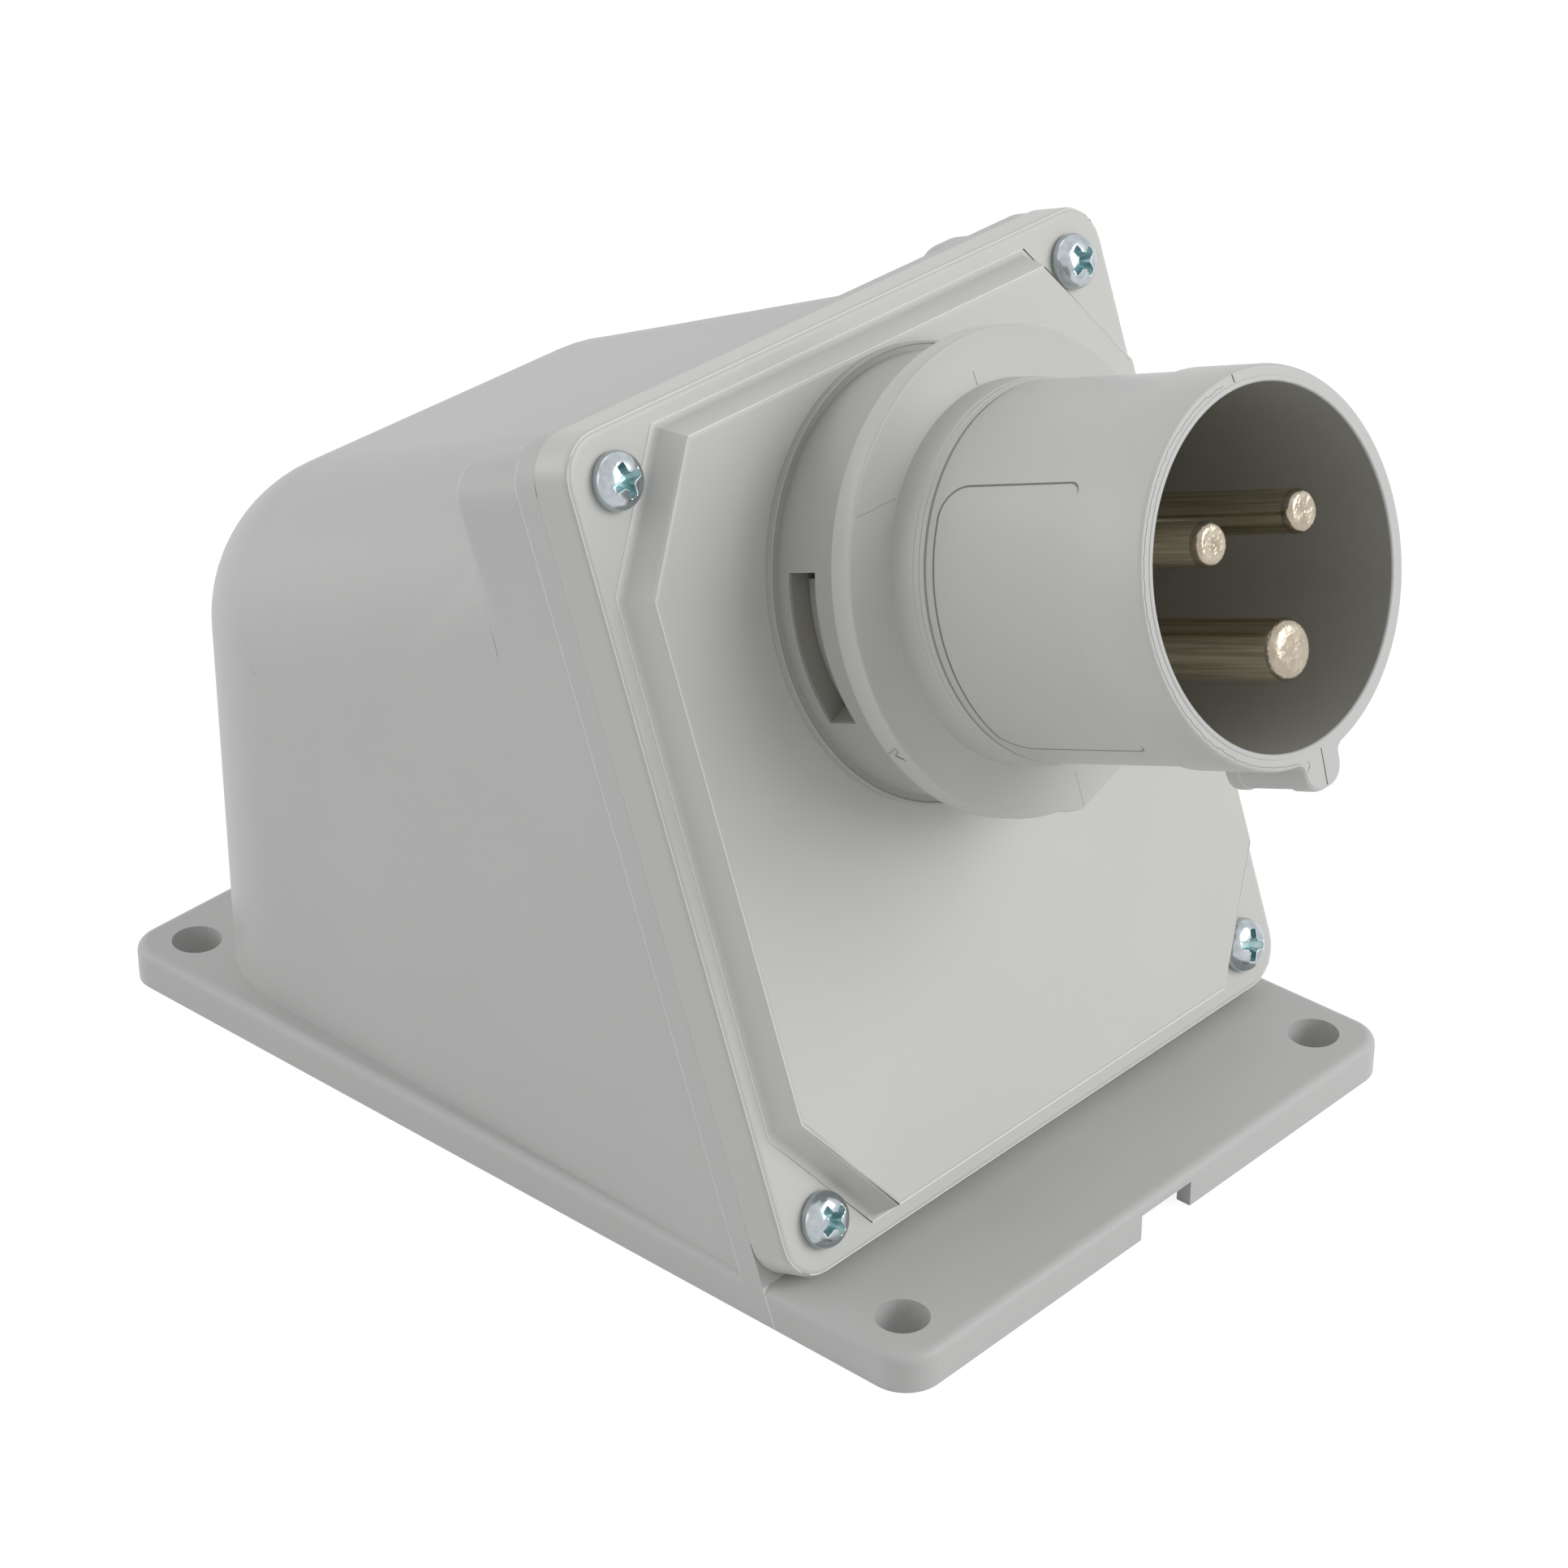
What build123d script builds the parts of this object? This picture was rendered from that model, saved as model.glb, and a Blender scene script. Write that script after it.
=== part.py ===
# Wall mounted appliance inlet: a light grey box on a wall plate with a sloping cover,
# a round inlet with three pins standing square to that cover.
#
# Frame: millimetres, Z = 0 on the wall side of the plate, +Z away from the wall.
# The inlet end points to -Y, the cable end to +Y, X runs across, origin at the plate centre.
# The cover and the inlet are tilted.  They are drawn in a second frame:
# n is measured along the inlet axis from the origin, u up the cover, x across.
from build123d import *
from math import cos, radians, sin, tan
import os

os.makedirs("parts", exist_ok=True)

# Tilt of the cover and the inlet.
TILT = 20.0
COS_T = cos(radians(TILT))
SIN_T = sin(radians(TILT))
INLET_DIR = (0, -COS_T, SIN_T)

# Play between round faces that sit in each other.
ROUND_PLAY = 0.3

# Wall plate with its skirt.
PLATE_W = 92.0
PLATE_LENGTH = 134.0
PLATE_THICKNESS = 5.0
PLATE_CORNER_R = 4.8
PLATE_EDGE_R = 1.3
SKIRT_WALL = 2.0
RECESS_DEPTH = 3.5
FIX_INSET_X = 6.75
FIX_INSET_Y = 7.0
FIX_HOLE_R = 3.25
FIX_BOSS_WALL = 2.35
FIX_BOSS_R = FIX_HOLE_R + FIX_BOSS_WALL
FIX_SPACING_X = PLATE_W - 2 * FIX_INSET_X
FIX_SPACING_Y = PLATE_LENGTH - 2 * FIX_INSET_Y
NOTCH_W = 9.4
NOTCH_X = 0.7

# Front frame, square to the inlet axis, and the body behind it.
# The body narrows backwards and ends in a rear wall with ball corners.
FRONT_LEDGE = 20.5
FRAME_AT = (PLATE_LENGTH / 2 - FRONT_LEDGE) * COS_T
FRAME_DEPTH = 3.1
FRAME_TOP_U = 91.1
FRAME_CORNER_R = 5.4
BODY_SIDE_STEP = 0.7
BODY_TOP_STEP = 3.4
BODY_NARROWING = 2.7
BODY_REAR_STEP = 5.2
BODY_FRONT_HALF_W = PLATE_W / 2 - BODY_SIDE_STEP
BODY_REAR_HALF_W = BODY_FRONT_HALF_W - BODY_NARROWING
BODY_FRONT_TOP_U = FRAME_TOP_U - BODY_TOP_STEP
BODY_FRONT_CORNER_R = 20.4
BALL_R = 20.8
BALL_Y = PLATE_LENGTH / 2 - BODY_REAR_STEP - BALL_R
BALL_Z = 52.4
BODY_WALL = 2.6
CAVITY_FLOOR_Z = 6.0
BELOW_U = -22.0

# Cover with the raised octagon.
COVER_GAP = 0.15
COVER_RIM_THICKNESS = 5.38
COVER_TOP_STEP = 0.3
COVER_FACE_AT = FRAME_AT + COVER_GAP + COVER_RIM_THICKNESS
COVER_BACK_AT = FRAME_AT + COVER_GAP
COVER_TOP_U = FRAME_TOP_U + COVER_TOP_STEP
COVER_FOOT_PLAY = 0.04
COVER_BOTTOM_U = (PLATE_THICKNESS - COVER_BACK_AT * SIN_T) / COS_T + COVER_FOOT_PLAY
COVER_CORNER_R = 5.4
COVER_EDGE_R = 0.9
COVER_WALL = 2.6
PLATEAU_H = 4.0
PLATEAU_INSET_X = 4.15
PLATEAU_INSET_U = 4.25
PLATEAU_HALF_W = PLATE_W / 2 - PLATEAU_INSET_X
PLATEAU_TOP_U = COVER_TOP_U - PLATEAU_INSET_U
PLATEAU_BOTTOM_U = COVER_BOTTOM_U + PLATEAU_INSET_U
PLATEAU_CUT_X = 11.0
PLATEAU_CUT_U = 15.2
PLATEAU_SPREAD = 1.4
PLATEAU_EDGE_R = 0.7
PLATEAU_FOOT_R = 0.9
PLATEAU_AT = COVER_FACE_AT + PLATEAU_H
COVER_INNER_AT = PLATEAU_AT - COVER_WALL

# Cover screws.
SCREW_INSET_X = 6.5
SCREW_INSET_U = 6.3
SCREW_SHANK_R = 1.7
SCREW_TIP_R = 1.2
SCREW_TIP_LENGTH = 1.5
SCREW_LENGTH = 15.0
SCREW_HEAD_R = 3.4
SCREW_HEAD_H = 2.5
SCREW_RIM_H = 0.5
SCREW_HEAD_FLAT_R = 1.2
SCREW_HEAD_BULGE_R = 2.82
SCREW_HEAD_BULGE_H = 1.7
RECESS_ARM_W = 1.1
RECESS_ARM_LENGTH = 4.0
SCREW_RECESS_DEPTH = 1.4
SCREW_HOLE_LENGTH = 12.0
SCREW_TURN_UPPER_NEAR = 12.0
SCREW_TURN_UPPER_FAR = 30.0
SCREW_TURN_LOWER_NEAR = -20.0
SCREW_TURN_LOWER_FAR = 5.0
CORNER_BOSS_R = 4.3
CORNER_BOSS_LENGTH = 17.0

# Bosses behind the frame that the two upper cover screws reach into.
BOSS_W = 11.5
BOSS_H = 9.5
BOSS_TOP_STEP = 2.2
BOSS_LENGTH = 12.6
BOSS_CORNER_R = 4.5
BOSS_REAR_R = 1.8

# Cover gasket in its groove in the frame face.
GASKET_INSET = 1.2
GASKET_LOW_INSET = 0.5
GASKET_CORNER_R = 4.6
GASKET_W = 1.2
GASKET_GROOVE_DEPTH = 1.0
GASKET_PLAY = 0.15
GASKET_HALF_W = PLATE_W / 2 - GASKET_INSET
GASKET_TOP_U = FRAME_TOP_U - GASKET_INSET
GASKET_BOTTOM_U = COVER_BOTTOM_U + GASKET_LOW_INSET
MOUTH_LIP = 0.7
MOUTH_BOTTOM_U = GASKET_BOTTOM_U + GASKET_W + MOUTH_LIP

# Cable entry in the rear wall with its rubber grommet.
ENTRY_Z = 28.0
ENTRY_R = 12.5
GROMMET_FLANGE_STEP = 3.0
GROMMET_FLANGE_R = ENTRY_R + GROMMET_FLANGE_STEP
GROMMET_FLANGE_THICKNESS = 1.8
GROMMET_FLANGE_TAPER = 0.4
GROMMET_LIP_STEP = 1.5
GROMMET_LIP_R = ENTRY_R + GROMMET_LIP_STEP
GROMMET_LIP_THICKNESS = 0.4
GROMMET_NOSE_DEPTH = 1.6
GROMMET_WALL = 2.5
GROMMET_SKIN_THICKNESS = 1.0

# Inlet: the run of lengths along its axis.
COLLAR_LENGTH = 11.47
FLANGE_THICKNESS = 3.0
INLET_LENGTH = 36.8
FLOOR_STEP = 1.0
FLOOR_THICKNESS = 3.2
SHOULDER_LENGTH = 3.7
SPIGOT_LENGTH = 16.5
RING_LENGTH = 3.7
RING_CHAMFER = 0.6
BAND_LENGTH = 9.8
BAND_TAPER_LENGTH = 0.6
KEY_LENGTH = 11.5
FLANGE_BACK_AT = PLATEAU_AT + COLLAR_LENGTH
FLANGE_FRONT_AT = FLANGE_BACK_AT + FLANGE_THICKNESS
RIM_AT = FLANGE_FRONT_AT + INLET_LENGTH
FLOOR_AT = FLANGE_BACK_AT - FLOOR_STEP
FLOOR_BACK_AT = FLOOR_AT - FLOOR_THICKNESS
SHOULDER_AT = FLANGE_BACK_AT - SHOULDER_LENGTH
SPIGOT_END_AT = SHOULDER_AT - SPIGOT_LENGTH
RING_TOP_AT = FLANGE_FRONT_AT + RING_LENGTH
BAND_AT = RIM_AT - BAND_LENGTH
KEY_BACK_AT = RIM_AT - KEY_LENGTH

# Inlet radii.
RIM_R = 22.0
RIM_CHAMFER = 0.4
BARREL_STEP = 0.4
BORE_WALL = 1.95
RING_STEP = 0.05
SHOULDER_STEP = 0.1
SPIGOT_STEP = 1.1
SPIGOT_WALL = 2.1
FLANGE_STEP = 6.0
FLANGE_CHAMFER = 0.3
KEY_W = 6.4
KEY_STEP = 3.5
KEY_CORNER_R = 2.4
BARREL_R = RIM_R - BARREL_STEP
BORE_R = RIM_R - BORE_WALL
RING_R = RIM_R - RING_STEP
SHOULDER_R = RIM_R + SHOULDER_STEP
SPIGOT_R = RIM_R - SPIGOT_STEP
SPIGOT_BORE_R = SPIGOT_R - SPIGOT_WALL
FLANGE_R = RIM_R + FLANGE_STEP
KEY_OUT_R = RIM_R + KEY_STEP

# Collar between cover and inlet flange, with the window onto the lock ring.
COLLAR_STEP = 3.7
COLLAR_FOOT_STEP = 1.1
COLLAR_R = RIM_R + COLLAR_STEP
COLLAR_FOOT_R = COLLAR_R + COLLAR_FOOT_STEP
COLLAR_FOOT_H = 0.75
COLLAR_FOOT_CHAMFER = 0.3
WINDOW_STEP = 2.67
WINDOW_LENGTH = 4.1
WINDOW_MID = 180.3
WINDOW_HALF = 20.5
WINDOW_AT = PLATEAU_AT + WINDOW_STEP
LOCK_RING_RISE = 0.5
LOCK_RING_R = RIM_R + LOCK_RING_RISE
LOCK_RING_STEP = 2.57
LOCK_RING_AT = PLATEAU_AT + LOCK_RING_STEP
LOCK_GAP_FROM = 156.5
LOCK_GAP_TO = 161.4
COLLAR_SPIGOT_WALL = 1.4
COLLAR_SPIGOT_R = SPIGOT_R + COLLAR_SPIGOT_WALL
COLLAR_GROOVE_INSET = 0.9
COLLAR_GROOVE_MID_R = COLLAR_R - COLLAR_GROOVE_INSET
COLLAR_GROOVE_W = 1.1
COLLAR_GROOVE_DEPTH = 0.9
NUT_WALL = 3.2
NUT_R = SPIGOT_R + NUT_WALL
NUT_THICKNESS = 3.2
NUT_NOTCHES = 8
NUT_NOTCH_W = 4.0
NUT_NOTCH_DEPTH = 1.2

# Height of the inlet axis: the nut keeps this distance from the top of the frame.
NUT_TOP_SPACE = 7.2
AXIS_U = FRAME_TOP_U - NUT_TOP_SPACE - NUT_R

# Insulating carrier behind the floor of the inlet.
CARRIER_R = SPIGOT_BORE_R - ROUND_PLAY
CARRIER_LENGTH = 14.5
CARRIER_REAR_AT = FLOOR_BACK_AT - CARRIER_LENGTH
CARRIER_SCREW_INSET = 5.5
CARRIER_SCREW_CIRCLE_R = CARRIER_R - CARRIER_SCREW_INSET
CARRIER_SCREW_R = 1.2
CARRIER_SCREW_GRIP = 1.6
CARRIER_SCREW_HEAD_R = 2.4
CARRIER_SCREW_HEAD_H = 1.7
CARRIER_RECESS_LENGTH = 3.0
CARRIER_RECESS_W = 0.8
CARRIER_RECESS_DEPTH = 0.9

# Pins on their circle.  The insert sits a few degrees round from the key.
PIN_CIRCLE_R = 9.03
PIN_TURN = -6.5
PIN_STEP = 120.0
PHASE_PIN_R = 2.5
EARTH_PIN_R = 3.5
PHASE_TIP_STEP = -1.3
EARTH_TIP_STEP = 0.7
PIN_TAPER_LENGTH = 1.4
PIN_TAPER_W = 0.35
PIN_SEAT_STEP = 0.2
PIN_SEAT_PLAY = 0.15
PIN_FLANGE_STEP = 1.2
PIN_FLANGE_THICKNESS = 2.0
TERMINAL_STEP = 0.7
TERMINAL_LENGTH = 24.0
TERMINAL_WALL = 1.4
TERMINAL_BORE_LENGTH = 7.0
TERMINAL_END_AT = FLOOR_BACK_AT - TERMINAL_LENGTH
CLAMP_STEP = 4.0
CLAMP_AT = TERMINAL_END_AT + CLAMP_STEP
CLAMP_SHANK_R = 1.5
CLAMP_HEAD_R = 2.3
CLAMP_HEAD_H = 1.8
CLAMP_HEAD_PLAY = 0.1
CLAMP_SLOT_W = 0.7
CLAMP_SLOT_DEPTH = 0.7

# Length by which a cutting tool runs past the face that it leaves, and what counts as touching.
OVERRUN = 1.0
TOUCH = 0.01


# A plane square to the inlet axis, its y axis pointing up the cover.
def face_plane(n_at, u_at=0.0):
    origin = (0, -n_at * COS_T + u_at * SIN_T, n_at * SIN_T + u_at * COS_T)
    return Plane(origin=origin, x_dir=(1, 0, 0), z_dir=INLET_DIR)


# A plane through the inlet axis: x is the radius and y runs along the axis.
def axis_plane():
    origin = (0, AXIS_U * SIN_T, AXIS_U * COS_T)
    return Plane(origin=origin, x_dir=(1, 0, 0), z_dir=(0, -SIN_T, -COS_T))


INLET_AXIS = Axis((0, AXIS_U * SIN_T, AXIS_U * COS_T), INLET_DIR)

BALL_AT = -BALL_Y * COS_T + BALL_Z * SIN_T
BALL_U = BALL_Y * SIN_T + BALL_Z * COS_T
FRAME_BACK_AT = FRAME_AT - FRAME_DEPTH
FOOT_LENGTH = BALL_Y + FRAME_BACK_AT / COS_T
SIDE_SLOPE = (BODY_FRONT_HALF_W - BODY_REAR_HALF_W) / FOOT_LENGTH


# Outline of a cross section with two rounded upper corners.
def arch_outline(half_w, low_w, spring_u, corner_r, low_u):
    flat = half_w - corner_r
    Line((-low_w, low_u), (-half_w, spring_u))
    CenterArc((-flat, spring_u), corner_r, 180, -90)
    Line((-flat, spring_u + corner_r), (flat, spring_u + corner_r))
    CenterArc((flat, spring_u), corner_r, 90, -90)
    Line((half_w, spring_u), (low_w, low_u))
    Line((low_w, low_u), (-low_w, low_u))


# The body or, with an inset and a floor height, the room inside it.
def body_volume(inset, base_z):
    front_w = BODY_FRONT_HALF_W - inset
    rear_w = BODY_REAR_HALF_W - inset
    ball_r = BALL_R - inset
    front_r = BODY_FRONT_CORNER_R - inset
    front_spring = BODY_FRONT_TOP_U - BODY_FRONT_CORNER_R
    flat = rear_w - ball_r
    low_w = rear_w + SIDE_SLOPE * SIN_T * (BALL_U - BELOW_U)
    step_y = BALL_Z * tan(radians(TILT)) + BALL_R / 2
    wide = SIDE_SLOPE * step_y
    with BuildPart() as volume:
        with BuildSketch(face_plane(FRAME_BACK_AT)):
            with BuildLine():
                arch_outline(front_w, front_w, front_spring, front_r, BELOW_U)
            make_face()
        with BuildSketch(face_plane(BALL_AT)):
            with BuildLine():
                arch_outline(rear_w, low_w, BALL_U, ball_r, BELOW_U)
            make_face()
        loft(ruled=True)
        split(bisect_by=Plane.XY.offset(base_z), keep=Keep.TOP)
    with BuildPart() as rear_block:
        with BuildSketch(Plane.XY.offset(base_z)):
            with BuildLine():
                Line((flat, BALL_Y + ball_r), (-flat, BALL_Y + ball_r))
                CenterArc((-flat, BALL_Y), ball_r, 90, 90)
                Polyline(
                    (-rear_w, BALL_Y),
                    (-rear_w - wide, BALL_Y - step_y),
                    (rear_w + wide, BALL_Y - step_y),
                    (rear_w, BALL_Y),
                )
                CenterArc((flat, BALL_Y), ball_r, 0, 90)
            make_face()
        extrude(amount=BALL_Z - base_z)
        split(bisect_by=face_plane(BALL_AT), keep=Keep.BOTTOM)
    with BuildPart() as rear_round:
        with BuildSketch(Plane.XY.offset(BALL_Z)):
            with BuildLine():
                Line((flat, BALL_Y + ball_r), (-flat, BALL_Y + ball_r))
                CenterArc((-flat, BALL_Y), ball_r, 90, 90)
                Line((-rear_w, BALL_Y), (rear_w, BALL_Y))
                CenterArc((flat, BALL_Y), ball_r, 0, 90)
            make_face()
        revolve(axis=Axis((0, BALL_Y, BALL_Z), (1, 0, 0)), revolution_arc=90 - TILT)
    return volume.part + rear_block.part + rear_round.part


def radial_dir(angle):
    across = cos(radians(angle))
    up = sin(radians(angle))
    return (across, up * SIN_T, up * COS_T)


# A plane whose z axis points out of the inlet axis at the given angle from +X.
def radial_plane(angle, n_at):
    return Plane(origin=face_plane(n_at, AXIS_U).origin, x_dir=INLET_DIR, z_dir=radial_dir(angle))


def octagon(half_w, top_u, bottom_u, cut_x, cut_u):
    side_x = half_w - cut_x
    return [
        (-side_x, top_u),
        (side_x, top_u),
        (half_w, top_u - cut_u),
        (half_w, bottom_u + cut_u),
        (side_x, bottom_u),
        (-side_x, bottom_u),
        (-half_w, bottom_u + cut_u),
        (-half_w, top_u - cut_u),
    ]


def pie(from_angle, to_angle, reach):
    mid = (from_angle + to_angle) / 2
    corners = [(0, 0)]
    for angle in (from_angle, mid, to_angle):
        corners.append((reach * cos(radians(angle)), reach * sin(radians(angle))))
    return corners


BODY_REAR_Y = BALL_Y + BALL_R
SCREW_X = PLATE_W / 2 - SCREW_INSET_X
SCREW_TOP_U = COVER_TOP_U - SCREW_INSET_U
SCREW_LOW_U = COVER_BOTTOM_U + SCREW_INSET_U
SCREW_PLACES = [
    (-SCREW_X, SCREW_TOP_U),
    (SCREW_X, SCREW_TOP_U),
    (-SCREW_X, SCREW_LOW_U),
    (SCREW_X, SCREW_LOW_U),
]
EARTH_ANGLE = -90.0 + PIN_TURN
LINE_ANGLE = EARTH_ANGLE + PIN_STEP
NEUTRAL_ANGLE = EARTH_ANGLE - PIN_STEP


def on_circle(radius, angle):
    return (radius * cos(radians(angle)), radius * sin(radians(angle)))


PHASE_PLACES = [on_circle(PIN_CIRCLE_R, LINE_ANGLE), on_circle(PIN_CIRCLE_R, NEUTRAL_ANGLE)]
EARTH_PLACE = on_circle(PIN_CIRCLE_R, EARTH_ANGLE)
CARRIER_SCREW_PLACES = [
    on_circle(CARRIER_SCREW_CIRCLE_R, EARTH_ANGLE + PIN_STEP / 2),
    on_circle(CARRIER_SCREW_CIRCLE_R, EARTH_ANGLE - PIN_STEP / 2),
]


# True where both ends and the middle of an edge lie on the plane.
def on_plane(plane, edge):
    points = [edge @ 0, edge @ 0.5, edge @ 1]
    return all(abs(plane.to_local_coords(point).Z) < TOUCH for point in points)


outer_body = body_volume(0.0, 0.0)
inner_room = body_volume(BODY_WALL, CAVITY_FLOOR_Z)

# Wall plate, drawn by itself so that its upper edge can be rounded.
with BuildPart() as wall_plate:
    with BuildSketch(Plane.XY):
        RectangleRounded(PLATE_W, PLATE_LENGTH, PLATE_CORNER_R)
    extrude(amount=PLATE_THICKNESS)
    fillet(wall_plate.faces().sort_by(Axis.Z)[-1].edges(), PLATE_EDGE_R)

# Upper screw bosses, rounded at the rear before they join the body.
with BuildPart() as screw_bosses:
    boss_x = BODY_FRONT_HALF_W - BOSS_W / 2
    boss_u = FRAME_TOP_U - BOSS_TOP_STEP - BOSS_H / 2
    with BuildSketch(face_plane(FRAME_BACK_AT)) as boss_outline:
        with Locations((-boss_x, boss_u), (boss_x, boss_u)):
            Rectangle(BOSS_W, BOSS_H)
        fillet(boss_outline.vertices().group_by(Axis.Y)[-1], BOSS_CORNER_R)
    extrude(amount=-BOSS_LENGTH)
    boss_rear = face_plane(FRAME_BACK_AT - BOSS_LENGTH)
    fillet([e for e in screw_bosses.edges() if on_plane(boss_rear, e)], BOSS_REAR_R)

# Housing: one moulding of plate, skirt, body, frame and screw bosses.
FRAME_H = FRAME_TOP_U - BELOW_U
with BuildPart() as housing:
    add(outer_body)
    with BuildSketch(face_plane(FRAME_AT)) as frame_outline:
        with Locations((0, BELOW_U + FRAME_H / 2)):
            Rectangle(PLATE_W, FRAME_H)
        fillet(frame_outline.vertices().group_by(Axis.Y)[-1], FRAME_CORNER_R)
    extrude(amount=-FRAME_DEPTH)
    split(bisect_by=Plane.XY, keep=Keep.TOP)
    add(wall_plate.part)
    add(screw_bosses.part)
    add(inner_room, mode=Mode.SUBTRACT)
    with BuildSketch(face_plane(FRAME_BACK_AT)):
        with BuildLine():
            arch_outline(
                BODY_FRONT_HALF_W - BODY_WALL,
                BODY_FRONT_HALF_W - BODY_WALL,
                BODY_FRONT_TOP_U - BODY_FRONT_CORNER_R,
                BODY_FRONT_CORNER_R - BODY_WALL,
                MOUTH_BOTTOM_U,
            )
        make_face()
    extrude(amount=FRAME_DEPTH + OVERRUN, mode=Mode.SUBTRACT)
    with BuildSketch(face_plane(FRAME_AT)):
        with Locations(*SCREW_PLACES[2:]):
            Circle(CORNER_BOSS_R)
    extrude(amount=-CORNER_BOSS_LENGTH)
    with BuildSketch(face_plane(FRAME_AT)):
        with Locations((0, (GASKET_TOP_U + GASKET_BOTTOM_U) / 2)):
            RectangleRounded(
                2 * (GASKET_HALF_W + GASKET_PLAY),
                GASKET_TOP_U - GASKET_BOTTOM_U + 2 * GASKET_PLAY,
                GASKET_CORNER_R + GASKET_PLAY,
            )
            RectangleRounded(
                2 * (GASKET_HALF_W - GASKET_W - GASKET_PLAY),
                GASKET_TOP_U - GASKET_BOTTOM_U - 2 * (GASKET_W + GASKET_PLAY),
                GASKET_CORNER_R - GASKET_W - GASKET_PLAY,
                mode=Mode.SUBTRACT,
            )
    extrude(amount=-GASKET_GROOVE_DEPTH, mode=Mode.SUBTRACT)
    with BuildSketch(face_plane(FRAME_AT)):
        with Locations(*SCREW_PLACES):
            Circle(SCREW_SHANK_R + ROUND_PLAY)
    extrude(amount=-SCREW_HOLE_LENGTH, mode=Mode.SUBTRACT)
    with BuildSketch(Plane.XY):
        RectangleRounded(
            PLATE_W - 2 * SKIRT_WALL,
            PLATE_LENGTH - 2 * SKIRT_WALL,
            PLATE_CORNER_R - SKIRT_WALL,
        )
        with GridLocations(FIX_SPACING_X, FIX_SPACING_Y, 2, 2):
            Circle(FIX_BOSS_R, mode=Mode.SUBTRACT)
    extrude(amount=RECESS_DEPTH, mode=Mode.SUBTRACT)
    with BuildSketch(Plane.XY):
        with GridLocations(FIX_SPACING_X, FIX_SPACING_Y, 2, 2):
            Circle(FIX_HOLE_R)
        with Locations((NOTCH_X, (SKIRT_WALL - PLATE_LENGTH) / 2)):
            Rectangle(NOTCH_W, SKIRT_WALL + OVERRUN)
    extrude(amount=RECESS_DEPTH, mode=Mode.SUBTRACT)
    with BuildSketch(Plane.XY):
        with GridLocations(FIX_SPACING_X, FIX_SPACING_Y, 2, 2):
            Circle(FIX_HOLE_R)
    extrude(amount=PLATE_THICKNESS, mode=Mode.SUBTRACT)
    with BuildSketch(Plane.XZ.offset(-BODY_REAR_Y)):
        with Locations((0, ENTRY_Z)):
            Circle(ENTRY_R)
    extrude(amount=2 * BODY_WALL, mode=Mode.SUBTRACT)

# True for an edge round the foot of the octagon.
def is_plateau_foot(edge):
    middle = face_plane(COVER_FACE_AT).to_local_coords(edge @ 0.5)
    in_width = abs(middle.X) < PLATEAU_HALF_W + PLATEAU_SPREAD + TOUCH
    low_u = PLATEAU_BOTTOM_U - PLATEAU_SPREAD - TOUCH
    return in_width and low_u < middle.Y < PLATEAU_TOP_U + PLATEAU_SPREAD + TOUCH


# Cover: a shallow tray with a raised octagon.
cover_mid_u = (COVER_TOP_U + COVER_BOTTOM_U) / 2
with BuildPart() as cover:
    with BuildSketch(face_plane(COVER_BACK_AT)):
        with Locations((0, cover_mid_u)):
            RectangleRounded(PLATE_W, COVER_TOP_U - COVER_BOTTOM_U, COVER_CORNER_R)
    extrude(amount=COVER_FACE_AT - COVER_BACK_AT)
    fillet(cover.faces().sort_by(Axis((0, 0, 0), INLET_DIR))[-1].edges(), COVER_EDGE_R)
    with BuildSketch(face_plane(COVER_FACE_AT)):
        foot_points = octagon(
            PLATEAU_HALF_W + PLATEAU_SPREAD,
            PLATEAU_TOP_U + PLATEAU_SPREAD,
            PLATEAU_BOTTOM_U - PLATEAU_SPREAD,
            PLATEAU_CUT_X + PLATEAU_SPREAD / 2,
            PLATEAU_CUT_U + PLATEAU_SPREAD / 2,
        )
        Polygon(*foot_points, align=None)
    with BuildSketch(face_plane(PLATEAU_AT)):
        top_points = octagon(
            PLATEAU_HALF_W,
            PLATEAU_TOP_U,
            PLATEAU_BOTTOM_U,
            PLATEAU_CUT_X,
            PLATEAU_CUT_U,
        )
        Polygon(*top_points, align=None)
    loft(ruled=True)
    fillet(cover.faces().sort_by(Axis((0, 0, 0), INLET_DIR))[-1].edges(), PLATEAU_EDGE_R)
    foot_edges = [e for e in cover.edges() if on_plane(face_plane(COVER_FACE_AT), e)]
    fillet([e for e in foot_edges if is_plateau_foot(e)], PLATEAU_FOOT_R)
    with BuildSketch(face_plane(COVER_BACK_AT)):
        inner_points = octagon(
            PLATEAU_HALF_W - COVER_WALL,
            PLATEAU_TOP_U - COVER_WALL,
            PLATEAU_BOTTOM_U + COVER_WALL,
            PLATEAU_CUT_X,
            PLATEAU_CUT_U,
        )
        Polygon(*inner_points, align=None)
    extrude(amount=COVER_INNER_AT - COVER_BACK_AT, mode=Mode.SUBTRACT)
    with BuildSketch(face_plane(COVER_BACK_AT)):
        with Locations(*SCREW_PLACES):
            Circle(SCREW_SHANK_R + ROUND_PLAY)
        with Locations((0, AXIS_U)):
            Circle(COLLAR_SPIGOT_R + ROUND_PLAY)
    extrude(amount=PLATEAU_AT - COVER_BACK_AT, mode=Mode.SUBTRACT)
cover.part.label = "cover"
housing.part.label = "housing"

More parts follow.
